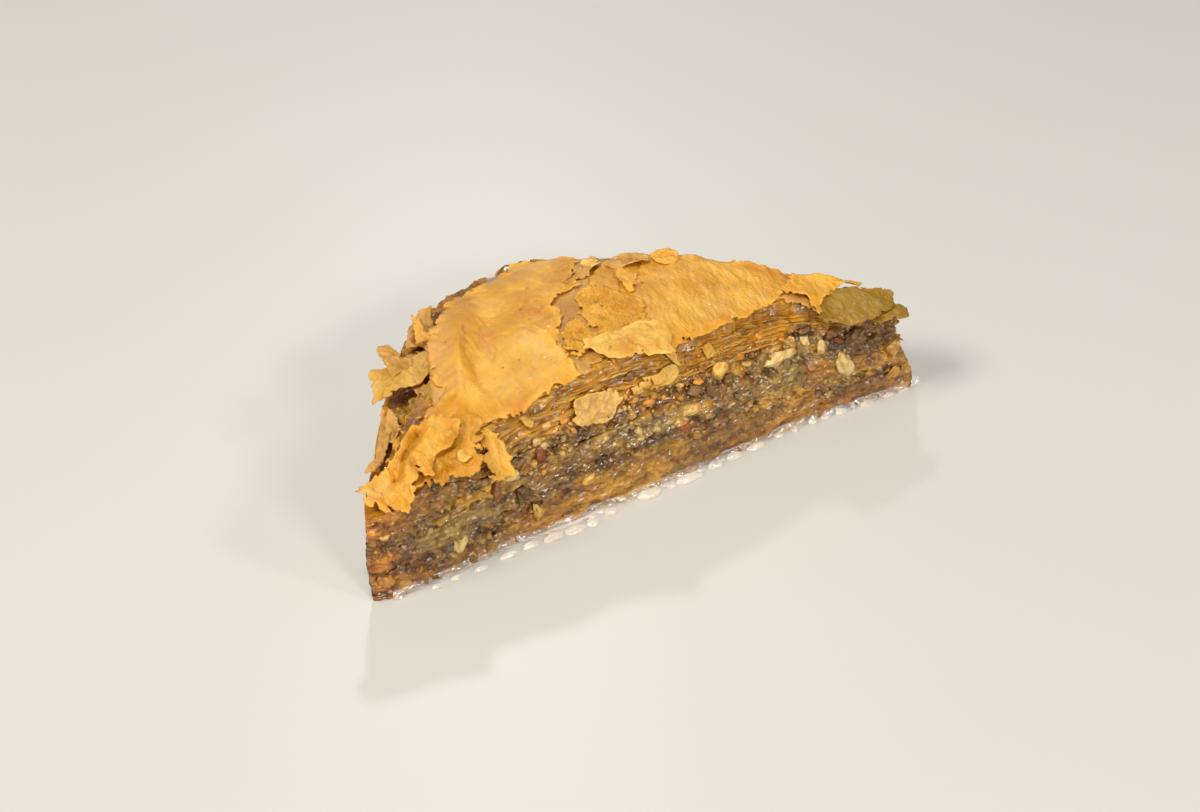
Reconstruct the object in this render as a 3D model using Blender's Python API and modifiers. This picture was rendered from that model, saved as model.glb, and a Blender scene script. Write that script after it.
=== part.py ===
"""Baklava piece: half of a square cut corner to corner, lying on its base.

The stack is three thicknesses of filo pastry with two bands of chopped walnut
between them, all of them open to view on the long cut face and running through
the piece. The baked top is domed, set back above the cut, and carries torn
leaves of crust that lift, curl or hang over the edges. Two broken leaves lie
loose against the cut face.

Plan sizes are in millimetres from the sharp corner at the left end of the cut
face: x runs along the cut, y goes back from it, z goes up from the plate.
"""

import math

import bmesh
import bpy
from mathutils import Vector, noise

# ---- driving dimensions, millimetres ----
MM = 0.001
CUT_LENGTH = 132.0          # the long cut face, corner to corner
MIDDLE = CUT_LENGTH / 2     # the back corner stands square behind the middle
CORNER_WIDTH = 2.2          # the two sharp corners are blunted to this
CENTRE = (65.75, 29.42)     # plan point that becomes the origin

CORNER_HEIGHT = 20.4        # top of the crust at the three corners
DOME_RISE = 10.0            # how far the crust rises above that
DOME_FRONT = 22.0           # the top of the dome, this far behind the cut
DOME_REACH = (66.0, 75.0)   # distance over which it falls to the left and to the right
EDGE_ROUND = 1.6            # the crust turns down this much at its rim
GAP = 0.3                   # clearance between neighbouring layers

LEDGE_OUT = 15.0            # lower leaves stand out on the left side, along y
LEDGE_LENGTH = 61.0         # and do so over this much of the left side
SETBACK = 6.6               # crust's rim behind the foot of the cut face
BARE_SETBACK = 4.0          # and this much more where the crust has broken away

LEAF_THICK = 0.9            # torn leaves of crust
LEDGE_HEIGHT = 20.2         # and their top lies this high, below the crust's rim
COLUMNS, ROWS = 32, 8       # grid of each layer, along and across
RIM_ROW = 6 / ROWS          # this row of the grid follows the crust's rim

# top of each layer at stations along the cut face
STATIONS = (0.0, 20.0, 40.0, 60.0, 80.0, 100.0, 118.0, 132.0)
BASE_TOP = (3.2, 3.6, 6.6, 9.6, 9.2, 6.6, 5.4, 5.2)
LOWER_NUT_TOP = (6.6, 7.2, 9.9, 12.6, 11.9, 9.2, 7.8, 7.4)
MIDDLE_TOP = (11.2, 12.2, 15.0, 17.0, 16.4, 14.0, 12.4, 12.0)
UPPER_NUT_TOP = (14.4, 15.6, 18.4, 20.0, 20.6, 20.0, 18.6, 16.6)


def smooth(t):
    """0 below 0, 1 above 1, and an even curve between."""
    t = min(1.0, max(0.0, t))
    return t * t * (3.0 - 2.0 * t)


def bell(t):
    """1 at 0, falling away on both sides."""
    return math.exp(-t * t)


def between_stations(values, x):
    """Height at x, by a smooth run from one station to the next."""
    for i in range(len(STATIONS) - 1):
        if x <= STATIONS[i + 1]:
            t = smooth((x - STATIONS[i]) / (STATIONS[i + 1] - STATIONS[i]))
            return values[i] + t * (values[i + 1] - values[i])
    return values[-1]


# ---- the outline, which changes with height ----
def left_end(z):
    """The left corner stands upright and swells slightly at mid height."""
    return -0.5 * bell((z - 8.0) / 6.0)


def right_end(z):
    """The right corner leans in as it goes up, then the crust flares out."""
    return CUT_LENGTH - 6.0 * smooth(z / 18.0) + 1.6 * smooth((z - 18.0) / 4.0)


def front(x, z):
    """The cut face: a wandering foot, and a top that slopes back at mid length."""
    foot = -2.1 * bell((x - 8.0) / 18.0) + 1.8 * bell((x - 103.0) / 24.0)
    reach = smooth(x / 28.0) * smooth((124.0 - x) / 22.0)
    ragged = 0.45 * noise.noise(Vector((x / 7.0, 3.1, z / 2.5)))
    bare = bell((x - 98.0) / 13.0) * smooth((z - 20.0) / 7.0)
    return foot + SETBACK * reach * smooth((z - 9.0) / 19.0) + BARE_SETBACK * bare + ragged


def back(x, z):
    """The two short sides, which meet at the back corner."""
    out = math.sin(math.pi * min(1.0, max(0.0, x / LEDGE_LENGTH)) ** 1.25) ** 0.8
    left_side = x + out * LEDGE_OUT * (0.76 + 0.24 * smooth(z / 14.0))
    lean = (CUT_LENGTH - right_end(z)) * smooth((x - 117.0) / 10.0)
    right_side = CUT_LENGTH - lean - x
    ragged = 0.5 * noise.noise(Vector((x / 6.0, 9.7, z / 2.5)))
    corner = 8.0
    blend = max(0.0, corner - abs(left_side - right_side)) / corner
    return min(left_side, right_side) - 0.25 * corner * blend * blend + ragged


def sides(x, z):
    """Where the cut face, the crust's rim and the back edge lie at x."""
    y_front = front(x, z)
    y_back = max(back(x, z), y_front + CORNER_WIDTH)
    wave = 3.2 * bell((x - 37.0) / 7.0) - 3.4 * bell((x - 26.0) / 6.0)
    y_rim = min(x + wave, y_back - 2.0)
    return y_front, max(y_rim, y_front + 0.6 * (y_back - y_front)), y_back


def plan(u, v, z):
    """Plan point of a layer: u along the cut, v from front to back, at height z."""
    x = left_end(z) + u * (right_end(z) - left_end(z))
    y_front, y_rim, y_back = sides(x, z)
    if v <= RIM_ROW:
        return x, y_front + v / RIM_ROW * (y_rim - y_front)
    past_rim = (v - RIM_ROW) / (1.0 - RIM_ROW)
    return x, y_rim + past_rim ** 2 * (y_back - y_rim)


# ---- heights over the plan ----
def crust_height(x, y):
    """The domed top, with the folds that run in the big leaf on its left."""
    fall = 46.0 if y < DOME_FRONT else 39.5
    reach = DOME_REACH[0] if x < MIDDLE else DOME_REACH[1]
    out = ((x - MIDDLE) / reach) ** 2 + ((y - DOME_FRONT) / fall) ** 2
    dome = CORNER_HEIGHT + DOME_RISE * max(0.0, 1.0 - out)
    along = Vector((10.0, 17.0)).normalized()
    offset = Vector((x - 38.0, y - 32.0))
    across = offset.x * along.y - offset.y * along.x
    lengthways = offset.dot(along)
    fold = 1.3 * bell(across / 2.6) * bell(lengthways / 14.0)
    trough = -0.9 * bell((across - 6.0) / 3.5) * bell(lengthways / 16.0)
    uneven = 0.5 * noise.noise(Vector((x / 11.0, y / 11.0, 5.0)))
    return dome + fold + trough + uneven


def layer_height(values, x, y):
    """A layer's top: its run along the cut, sinking a little towards the back."""
    sink = 1.0 - 0.15 * smooth((y - 12.0) / 50.0)
    uneven = 0.5 * noise.noise(Vector((x / 9.0, y / 9.0, values[0])))
    return (between_stations(values, x) + uneven) * sink


def crust_top(v, x, y):
    """The crust turns down at its rim, and steps down to the ledge on the left side."""
    y_front, y_rim, y_back = sides(x, CORNER_HEIGHT)
    high = crust_height(x, y)
    domed = smooth((high - CORNER_HEIGHT) / 6.0)
    inside = max(0.0, min(y - y_front, y_rim - y))
    rounded = high - EDGE_ROUND * domed * (1.0 - smooth(inside / 4.0))
    if v <= RIM_ROW:
        return rounded
    ledge_width = smooth((y_back - y_rim - 2.0) / 4.0)
    below_rim = rounded - 0.8 * domed
    return below_rim + ledge_width * (min(LEDGE_HEIGHT, below_rim) - below_rim)


def to_model(x, y, z):
    """Millimetres from the left corner to metres from the part's origin."""
    return Vector(((x - CENTRE[0]) * MM, (y - CENTRE[1]) * MM, z * MM))


# ---- making the solids ----
def material(name, colour, roughness):
    """One plain finish for a sub-part."""
    made = bpy.data.materials.new(name)
    made.use_nodes = True
    shader = made.node_tree.nodes["Principled BSDF"]
    shader.inputs["Base Color"].default_value = (*colour, 1.0)
    shader.inputs["Roughness"].default_value = roughness
    made.diffuse_color = (*colour, 1.0)
    return made


def add_object(name, mesh, collection, finish):
    """An object in its collection, smooth but for the corners of its rim."""
    made = bpy.data.objects.new(name, mesh)
    mesh.materials.append(finish)
    mesh.shade_smooth()
    mesh.set_sharp_from_angle(angle=math.radians(40.0))
    collection.objects.link(made)
    return made


def layer(name, bottom, top, levels, finish):
    """One layer of the stack: a box cut into a grid and set to the outline."""
    bm = bmesh.new()
    bmesh.ops.create_cube(bm, size=1.0)
    for axis, count in ((0, COLUMNS), (1, ROWS), (2, levels)):
        normal = Vector((0.0, 0.0, 0.0))
        normal[axis] = 1.0
        for i in range(1, count):
            everything = bm.verts[:] + bm.edges[:] + bm.faces[:]
            bmesh.ops.bisect_plane(
                bm, geom=everything, dist=1e-6, plane_co=normal * (i / count - 0.5), plane_no=normal
            )
    for vert in bm.verts:
        u, v, w = (value + 0.5 for value in vert.co)
        x, y = plan(u, v, 0.0)
        low, high = bottom(v, x, y), top(v, x, y)
        z = low + w * (high - low)
        x, y = plan(u, v, z)
        vert.co = to_model(x, y, z)
    mesh = bpy.data.meshes.new(name)
    bm.to_mesh(mesh)
    bm.free()
    return add_object(name, mesh, stack, finish)


def leaf(name, collection, finish, shape, along, across):
    """A torn leaf: a grid shaped by a function of its length and width, then thickened."""
    bm = bmesh.new()
    bmesh.ops.create_grid(bm, x_segments=along, y_segments=across, size=0.5)
    for vert in bm.verts:
        a, b = vert.co.x + 0.5, vert.co.y * 2.0
        vert.co = to_model(*shape(a, b))
    mesh = bpy.data.meshes.new(name)
    bm.to_mesh(mesh)
    bm.free()
    made = add_object(name, mesh, collection, finish)
    solid = made.modifiers.new("thickness", "SOLIDIFY")
    solid.thickness = LEAF_THICK * MM
    solid.offset = 0.0
    return made


def lifted(root, tip, width_root, width_tip, rise, cross=(0.0, 0.0, 0.0), torn=0.08, seed=0.0):
    """Shape of a leaf that is held at its root and bends up (or down) to its tip."""
    root, tip = Vector(root), Vector(tip)
    side = Vector(cross) if any(cross) else (tip - root).cross(Vector((0.0, 0.0, 1.0)))
    side.normalize()

    def shape(a, b):
        width = width_root + (width_tip - width_root) * a
        tear = 1.0 + torn * noise.noise(Vector((a * 3.0, b * 2.0, seed))) * 4.0
        rounding = 1.0 - 0.35 * max(0.0, (a - 0.75) / 0.25) ** 2
        reach = a * (1.0 + torn * math.sin(5.0 * b + seed))
        point = root + (tip - root) * reach + side * (b * 0.5 * width * tear * rounding)
        point.z += rise * a * a - 0.08 * width * b * b * (1.0 - a)
        return point

    return shape


def against_cut(centre_x, centre_z, length, width, turn, seed):
    """Shape of a loose leaf that lies against the sloping cut face."""

    def shape(a, b):
        s, t = 2.0 * a - 1.0, b
        square = max(abs(s), abs(t))
        round_off = square / max(1e-6, math.hypot(s, t))
        tear = 1.0 + 0.22 * noise.noise(Vector((s * 1.4, t * 1.4, seed)))
        dx = s * round_off * tear * length / 2
        dz = t * round_off * tear * width / 2
        x = centre_x + dx * math.cos(turn) - dz * math.sin(turn)
        z = centre_z + dx * math.sin(turn) + dz * math.cos(turn)
        return x, front(x, z) - GAP - LEAF_THICK - 0.2 * square, z

    return shape


for old in list(bpy.data.objects):
    bpy.data.objects.remove(old, do_unlink=True)

stack = bpy.data.collections.new("baklava_piece")
joined_leaves = bpy.data.collections.new("crust_leaves")
for made_collection in (stack, joined_leaves):
    bpy.context.scene.collection.children.link(made_collection)

crust_gold = material("crust_gold", (0.80, 0.46, 0.12), 0.35)
syrup_pastry = material("syrup_pastry", (0.62, 0.42, 0.20), 0.25)
walnut_brown = material("walnut_brown", (0.17, 0.09, 0.06), 0.40)


def plate_level(v, x, y):
    return 0.0


def top_of(values):
    return lambda v, x, y: layer_height(values, x, y) - GAP / 2


def over(values):
    return lambda v, x, y: layer_height(values, x, y) + GAP / 2


# ---- the stack, from the plate up ----
layer("base_pastry", plate_level, top_of(BASE_TOP), 2, syrup_pastry)
layer("lower_walnut_filling", over(BASE_TOP), top_of(LOWER_NUT_TOP), 1, walnut_brown)
layer("middle_pastry", over(LOWER_NUT_TOP), top_of(MIDDLE_TOP), 2, syrup_pastry)
layer("upper_walnut_filling", over(MIDDLE_TOP), top_of(UPPER_NUT_TOP), 2, walnut_brown)
top_pastry = layer("top_pastry", over(UPPER_NUT_TOP), crust_top, 4, crust_gold)

# ---- torn leaves that are part of the crust ----
ALONG_CUT = (1.0, 0.0, 0.0)
crust_leaves = {
    "corner_leaf": (
        4, lifted((11.0, 6.0, 22.0), (4.2, -4.2, 19.9), 12.0, 10.5, 2.0, (0.97, 0.2, -0.1), 0.05, 1.0)
    ),
    "hanging_strip": (2, lifted((32.0, 6.0, 24.2), (29.0, -1.6, 18.6), 3.4, 3.0, 0.0, ALONG_CUT, 0.03, 2.0)),
    "left_tongue": (
        3, lifted((36.0, 36.0, 24.2), (16.8, 32.7, 22.0), 9.0, 9.5, 0.0, (0.38, 0.92, 0.0), 0.03, 3.0)
    ),
    "left_curl": (2, lifted((36.0, 35.0, 24.0), (23.8, 43.0, 22.0), 5.0, 5.0, 2.0, (0, 0, 0), 0.03, 4.0)),
    "left_spike": (2, lifted((41.0, 37.0, 24.4), (35.0, 49.0, 22.6), 5.0, 2.0, 1.6, (0, 0, 0), 0.03, 5.0)),
    "back_sheet": (5, lifted((64.0, 38.0, 26.8), (65.0, 55.0, 23.2), 24.0, 20.0, 0.6, ALONG_CUT, 0.04, 6.0)),
    "back_curl": (2, lifted((71.0, 37.0, 27.6), (75.0, 44.5, 26.6), 6.0, 4.0, 1.6, (0, 0, 0), 0.04, 7.0)),
    "front_sheet": (5, lifted((62.0, 17.0, 30.4), (67.0, 3.6, 28.9), 20.0, 15.0, 0.6, ALONG_CUT, 0.05, 8.0)),
    "right_sheet": (
        5, lifted((111.0, 16.5, 25.4), (116.0, -1.4, 22.2), 21.0, 16.0, 0.4, (0.95, -0.31, -0.1), 0.05, 9.0)
    ),
}
for leaf_name, (segments_across, leaf_shape) in crust_leaves.items():
    torn_leaf = leaf(leaf_name, joined_leaves, crust_gold, leaf_shape, 7, segments_across)
    torn_leaf.hide_render = True
    torn_leaf.display_type = "WIRE"
    join = top_pastry.modifiers.new("join " + leaf_name, "BOOLEAN")
    join.operation = "UNION"
    join.object = torn_leaf

# ---- broken leaves lying loose on the cut face ----
leaf("loose_leaf_large", stack, crust_gold, against_cut(54.0, 21.3, 13.0, 7.0, 0.05, 11.0), 7, 6)
leaf("loose_leaf_small", stack, crust_gold, against_cut(67.2, 22.7, 11.5, 3.8, 0.22, 12.0), 7, 4)
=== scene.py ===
import itertools
import math

import bpy
import numpy as np
from mathutils import Matrix, Vector


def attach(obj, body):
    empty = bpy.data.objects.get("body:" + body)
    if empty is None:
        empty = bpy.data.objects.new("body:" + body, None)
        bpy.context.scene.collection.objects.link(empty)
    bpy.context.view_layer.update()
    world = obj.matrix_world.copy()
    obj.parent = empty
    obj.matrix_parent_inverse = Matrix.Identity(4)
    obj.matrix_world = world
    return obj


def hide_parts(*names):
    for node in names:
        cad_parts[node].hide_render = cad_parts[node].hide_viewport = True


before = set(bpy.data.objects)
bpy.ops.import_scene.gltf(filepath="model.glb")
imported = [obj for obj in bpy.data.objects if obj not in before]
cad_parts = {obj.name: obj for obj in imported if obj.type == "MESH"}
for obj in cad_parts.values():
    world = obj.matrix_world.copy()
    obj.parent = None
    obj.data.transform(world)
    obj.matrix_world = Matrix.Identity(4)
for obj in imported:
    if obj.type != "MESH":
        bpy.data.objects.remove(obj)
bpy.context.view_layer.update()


# ---- The table and the light ----
# A pale cream table top under the pastry, a wide soft lamp high on the left and one
# in front, pale light all round, and three small lamps that put the glints in the syrup.
TABLE_SIZE = 4.0
CAMERA_AT = Vector((-0.17087, -0.28589, 0.23634))
CAMERA_RIGHT = Vector((0.85060, -0.52573, -0.00946))
CAMERA_UP = Vector((0.30903, 0.48527, 0.81793))
CAMERA_LENS = 57.0


class Socket:
    """A shader socket. Arithmetic on it adds Math nodes to its material."""

    def __init__(self, tree, output):
        self.tree, self.output = tree, output

    def node(self, kind, settings=None, inputs=None, out=0):
        """Any node: its settings first, then the values or links of its sockets."""
        made = self.tree.nodes.new(kind)
        for key, value in (settings or {}).items():
            if key == "stops":
                while len(made.color_ramp.elements) < len(value):
                    made.color_ramp.elements.new(0.5)
                for element, (place, colour) in zip(made.color_ramp.elements, value):
                    element.position = place
                    element.color = (*colour, 1.0)
            else:
                setattr(made, key, value)
        for key, value in (inputs or {}).items():
            if isinstance(value, Socket):
                self.tree.links.new(value.output, made.inputs[key])
            else:
                made.inputs[key].default_value = value
        return Socket(self.tree, made.outputs[out])

    def maths(self, operation, *values, clamp=False):
        settings = {"operation": operation, "use_clamp": clamp}
        return self.node("ShaderNodeMath", settings, dict(enumerate(values)))

    def __add__(self, other):
        return self.maths("ADD", self, other)

    def __sub__(self, other):
        return self.maths("SUBTRACT", self, other)

    def __rsub__(self, other):
        return self.maths("SUBTRACT", other, self)

    def __mul__(self, other):
        return self.maths("MULTIPLY", self, other)

    def __truediv__(self, other):
        return self.maths("DIVIDE", self, other)

    def __pow__(self, other):
        return self.maths("POWER", self, other)

    __radd__, __rmul__ = __add__, __mul__

    def between(self, low, high):
        """0 below low, 1 above high, even between."""
        settings = {"interpolation_type": "SMOOTHSTEP"}
        return self.node("ShaderNodeMapRange", settings, {0: self, 1: low, 2: high})

    def grain(self, size, detail=2.0, roughness=0.5, stretch=(1.0, 1.0, 1.0), turn=0.0):
        """Noise from 0 to 1 whose grains are about size millimetres across."""
        inputs = {"Vector": self, "Scale": stretch, "Rotation": (0.0, 0.0, turn)}
        place = self.node("ShaderNodeMapping", None, inputs)
        inputs = {"Vector": place, "Scale": 1000.0 / size, "Detail": detail, "Roughness": roughness}
        return self.node("ShaderNodeTexNoise", None, inputs)

    def mixed(self, other, factor, blend="MIX"):
        """This colour with another laid over it."""
        settings = {"data_type": "RGBA", "blend_type": blend}
        return self.node("ShaderNodeMix", settings, {0: factor, 6: self, 7: other}, out=2)

    def blended(self, low, high, factor):
        """A colour between two plain ones."""
        settings = {"data_type": "RGBA"}
        return self.node("ShaderNodeMix", settings, {0: factor, 6: (*low, 1.0), 7: (*high, 1.0)}, out=2)

    def bump(self, height, distance):
        """Normals from this height; distance is in millimetres."""
        return self.node("ShaderNodeBump", None, {"Strength": height, "Distance": distance * 0.001, "Height": self})


def new_finish(name):
    """A new material: the material, its shader node, and its place in object coordinates."""
    made = bpy.data.materials.new(name)
    made.use_nodes = True
    shader = made.node_tree.nodes["Principled BSDF"]
    coordinates = made.node_tree.nodes.new("ShaderNodeTexCoord")
    return made, shader, Socket(made.node_tree, coordinates.outputs["Object"])


def join(socket, shader, name):
    """Feeds a socket into one of the shader's own."""
    socket.tree.links.new(socket.output, shader.inputs[name])


def colour(code):
    """A colour as the shader wants it, from its six-figure screen code."""
    parts = [int(code[i : i + 2], 16) / 255.0 for i in (0, 2, 4)]
    return tuple(p / 12.92 if p <= 0.04045 else ((p + 0.055) / 1.055) ** 2.4 for p in parts)


def solo():
    """Deselects everything, so that an operator acts on the new piece alone."""
    if bpy.context.object and bpy.context.object.mode != "OBJECT":
        bpy.ops.object.mode_set(mode="OBJECT")
    bpy.ops.object.select_all(action="DESELECT")


solo()
bpy.ops.mesh.primitive_plane_add(size=TABLE_SIZE)
table_top = bpy.context.object
table_top.name = "table_top"
table_finish, table_shader, place = new_finish("pale_table")
table_tone = place.blended(colour("c6c3ba"), colour("c9c6be"), place.grain(90.0))
table_shader.inputs["Roughness"].default_value = 0.4
join(table_tone, table_shader, "Base Color")
table_top.data.materials.append(table_finish)


def lamp(name, at, size, power, tint=(1.0, 1.0, 1.0)):
    """A square area lamp, in metres, aimed at the middle of the pastry."""
    light = bpy.data.lights.new(name, "AREA")
    light.size = size
    light.energy = power
    light.color = tint
    made = bpy.data.objects.new(name, light)
    made.location = at
    made.rotation_euler = (Vector((0.0, 0.0, 0.01)) - Vector(at)).to_track_quat("-Z", "Y").to_euler()
    bpy.context.scene.collection.objects.link(made)
    return made


lamp("wide_lamp", (-0.80, 0.0, 0.90), 0.35, 9.4, (1.0, 0.97, 0.93))
lamp("front_lamp", (0.0, -1.10, 0.60), 0.22, 5.4)
lamp("glint_lamp", (-0.10, -0.15, 1.00), 0.08, 2.2)
lamp("side_glint_lamp", (0.45, -0.80, 0.60), 0.12, 2.2)
lamp("back_glint_lamp", (0.36, 0.74, 0.68), 0.06, 1.6)
room = bpy.data.worlds.new("pale_room")
room.use_nodes = True
room.node_tree.nodes["Background"].inputs["Color"].default_value = (1.0, 0.96, 0.90, 1.0)
room.node_tree.nodes["Background"].inputs["Strength"].default_value = 0.34
bpy.context.scene.world = room

camera = bpy.data.objects.new("camera", bpy.data.cameras.new("camera"))
camera.data.lens = CAMERA_LENS
camera.data.sensor_width = 36.0
camera_back = CAMERA_RIGHT.cross(CAMERA_UP)
turned = Matrix((CAMERA_RIGHT, CAMERA_UP, camera_back)).transposed()
camera.matrix_world = Matrix.Translation(CAMERA_AT) @ turned.to_4x4()
bpy.context.scene.collection.objects.link(camera)
bpy.context.scene.camera = camera
bpy.context.scene.view_settings.view_transform = "Standard"


# ---- The bottom pastry ----
# A dozen sheets of filo, boiled soft in syrup by the time the piece is served.
# The knife has left them as a wet wall of thin leaf edges, brown at the left
# corner, honey-coloured in the middle and tan towards the right.
MM = 0.001
CUT_LENGTH = 132.0
MIDDLE = CUT_LENGTH / 2
CENTRE = (65.75, 29.42)
CORNER_WIDTH = 2.2
NOSE = 1.8                  # the two sharp corners are rounded over this length
LEDGE_OUT, LEDGE_LENGTH = 15.0, 61.0
SETBACK, BARE_SETBACK = 6.6, 4.0
COLUMN_STEP = 0.3           # spacing of the mesh along the cut
STATIONS = (0.0, 20.0, 40.0, 60.0, 80.0, 100.0, 118.0, 132.0)
BASE_TOP = (3.2, 3.6, 6.6, 9.6, 9.2, 6.6, 5.4, 5.2)
LOWER_NUT_TOP = (6.6, 7.2, 9.9, 12.6, 11.9, 9.2, 7.8, 7.4)
MIDDLE_TOP = (11.2, 12.2, 15.0, 17.0, 16.4, 14.0, 12.4, 12.0)
UPPER_NUT_TOP = (14.4, 15.6, 18.4, 20.0, 20.6, 20.0, 18.6, 16.6)
SHEETS = (10, 3, 6, 5, 11)  # sheets in each layer, from the plate up
CORNER_HEIGHT, DOME_RISE, DOME_REACH = 20.4, 10.0, (66.0, 75.0)


SHUFFLED = np.random.default_rng(7).permutation(256)
SLOPES = np.random.default_rng(8).normal(size=(256, 3))
SLOPES /= np.linalg.norm(SLOPES, axis=1)[:, None]


def smooth(t):
    t = np.clip(t, 0.0, 1.0)
    return t * t * (3.0 - 2.0 * t)


def bell(t):
    return np.exp(-np.square(t))


def rough(x, y, z):
    """Smooth noise, about -1 to 1, at one place or at many."""
    place = np.stack(np.broadcast_arrays(x, y, z), axis=-1).astype(float)
    cell = np.floor(place).astype(int)
    part = place - cell
    ease = part ** 3 * (part * (part * 6.0 - 15.0) + 10.0)
    total = 0.0
    for corner in itertools.product((0, 1), repeat=3):
        at = (cell + corner) & 255
        pick = SHUFFLED[(SHUFFLED[at[..., 0]] + at[..., 1]) & 255]
        pick = SHUFFLED[(pick + at[..., 2]) & 255]
        weight = np.prod(np.where(corner, ease, 1.0 - ease), axis=-1)
        total = total + weight * (SLOPES[pick] * (part - corner)).sum(axis=-1)
    return 1.5 * total


def rougher(x, y, z):
    """The same with finer noise on it."""
    return sum(0.52 ** i * rough(x * 2.1 ** i, y * 2.1 ** i, z * 2.1 ** i + 17.0 * i) for i in range(4))


def packed(x, z, seed):
    """Crumbs packed together: how deep inside its crumb a place is, and a number for each crumb."""
    cell_x, cell_z = np.floor(x), np.floor(z)
    nearest, second, number = 9.0, 9.0, 0.0
    for i, j in itertools.product((-1, 0, 1), repeat=2):
        a, b = cell_x + i, cell_z + j
        pick = np.abs(np.sin(a * 12.9898 + b * 78.233 + seed) * 43758.5453) % 1.0
        apart = np.hypot(x - a - 0.5 - 0.42 * np.cos(6.283 * pick), z - b - 0.5 - 0.42 * np.sin(6.283 * pick))
        nearer = apart < nearest
        second = np.where(nearer, nearest, np.minimum(second, apart))
        nearest = np.where(nearer, apart, nearest)
        number = np.where(nearer, (pick * 7.31) % 1.0, number)
    return second - nearest, number


def between_stations(values, x):
    """A value given at the stations along the cut, eased between them."""
    stations, values = np.array(STATIONS), np.array(values)
    k = np.clip(np.searchsorted(stations, x) - 1, 0, len(STATIONS) - 2)
    t = smooth((x - stations[k]) / (stations[k + 1] - stations[k]))
    return values[k] + t * (values[k + 1] - values[k])


def left_end(z):
    return -0.5 * bell((z - 8.0) / 6.0)


def right_end(z):
    return CUT_LENGTH - 6.0 * smooth(z / 18.0) + 1.6 * smooth((z - 18.0) / 4.0)


def front(x, z):
    """The cut face before its relief: a wandering foot, and a top that slopes back."""
    foot = -2.1 * bell((x - 8.0) / 18.0) + 1.8 * bell((x - 103.0) / 24.0)
    reach = smooth(x / 28.0) * smooth((124.0 - x) / 22.0)
    ragged = 0.45 * rough(x / 7.0, 3.1, z / 2.5)
    bare = bell((x - 98.0) / 13.0) * smooth((z - 20.0) / 7.0)
    return foot + SETBACK * reach * smooth((z - 9.0) / 19.0) + BARE_SETBACK * bare + ragged


def back(x, z):
    """The two short sides, which meet at the back corner."""
    out = np.sin(math.pi * np.clip(x / LEDGE_LENGTH, 0.0, 1.0) ** 1.25) ** 0.8
    left_side = x + out * LEDGE_OUT * (0.76 + 0.24 * smooth(z / 14.0))
    lean = (CUT_LENGTH - right_end(z)) * smooth((x - 117.0) / 10.0)
    right_side = CUT_LENGTH - lean - x
    corner = 8.0
    blend = np.maximum(0.0, corner - abs(left_side - right_side)) / corner
    return np.minimum(left_side, right_side) - 0.25 * corner * blend * blend + 0.5 * rough(x / 6.0, 9.7, z / 2.5)


def layer_height(values, x, y):
    sink = 1.0 - 0.15 * smooth((y - 12.0) / 50.0)
    return (between_stations(values, x) + 0.5 * rough(x / 9.0, y / 9.0, values[0])) * sink


def face_top(x):
    """The height of the cut, up to the underside of the crust."""
    out = ((x - MIDDLE) / np.where(x < MIDDLE, *DOME_REACH)) ** 2 + 0.17
    return CORNER_HEIGHT + DOME_RISE * np.maximum(0.0, 1.0 - out) - 0.5


def sheet_edges(x, z, seed):
    """The edges of the sheets in the cut: which sheet, how far out its lip is, how strong it is."""
    number, low = 0.0, 0.0
    levels = [between_stations(values, x) for values in (BASE_TOP, LOWER_NUT_TOP, MIDDLE_TOP, UPPER_NUT_TOP)]
    for count, high in zip(SHEETS, [*levels, face_top(x)]):
        number = number + count * np.clip((z - low) / (high - low), 0.0, 1.0)
        low = high
    number = number + 0.5 * rough(x / 8.0, z / 4.0, seed + 1.0) + 0.22 * rough(x / 2.4, z / 1.5, seed + 2.0)
    sheet = np.floor(number)
    part = number - sheet
    lip = smooth(part / 0.2) * (1.0 - smooth((part - 0.3) / 0.7))
    strong = smooth(0.45 + 1.3 * rough(x / 5.0, sheet * 3.7, seed + 4.0))
    return sheet, lip, strong


def nuttiness(x, z):
    """1 in the two walnut bands, 0 in the pastry."""
    wander = 0.7 * rough(x / 5.0, 8.8, z / 3.0)
    total = 0.0
    for low, high in ((BASE_TOP, LOWER_NUT_TOP), (MIDDLE_TOP, UPPER_NUT_TOP)):
        bottom, top = between_stations(low, x), between_stations(high, x)
        total = np.maximum(total, smooth((z + wander - bottom + 0.5) / 1.0) * smooth((top - z - wander + 0.5) / 1.0))
    return total


def crispness(x, z):
    """How clearly the sheets stand apart: in the top pastry, away from its two soaked ends."""
    return 0.12 + 0.88 * smooth((z - between_stations(UPPER_NUT_TOP, x)) / 2.0) * smooth((x - 18.0) / 16.0) * smooth((124.0 - x) / 12.0)


def relief(x, z, seed=0.0):
    """How far the cut stands out from its plain shape at this place."""
    nutty = nuttiness(x, z)
    crisp = crispness(x, z)
    sheet, lip, strong = sheet_edges(x, z, seed)
    wx, wz = x + 0.5 * rough(x / 1.6, z / 1.3, seed + 6.0), z + 0.4 * rough(x / 1.6, z / 1.3, seed + 7.0)
    depth, number = packed(wx / 1.7, wz / 1.25, seed)
    crumb = smooth(depth / 0.45) * (0.25 + 0.75 * number)
    broad = rougher(x / 4.2, z / 2.6, seed + 3.0)
    fine = rougher(x / 1.1, z / 0.8, seed + 8.0)
    soft = 1.0 - crisp
    pastry = crisp * lip * (0.2 + 0.75 * strong) + (0.3 + 0.5 * soft) * broad + (0.16 + 0.2 * soft) * fine - 0.15
    nuts = 0.6 * crumb + 0.8 * broad + 0.36 * fine - 0.45
    return (1.0 - nutty) * pastry + nutty * nuts


def to_model(x, y, z):
    """Places in the model, in metres, from places measured along, behind and above the cut's left corner."""
    parts = np.broadcast_arrays((x - CENTRE[0]) * MM, (y - CENTRE[1]) * MM, z * MM)
    return np.stack(parts, axis=-1)


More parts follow.
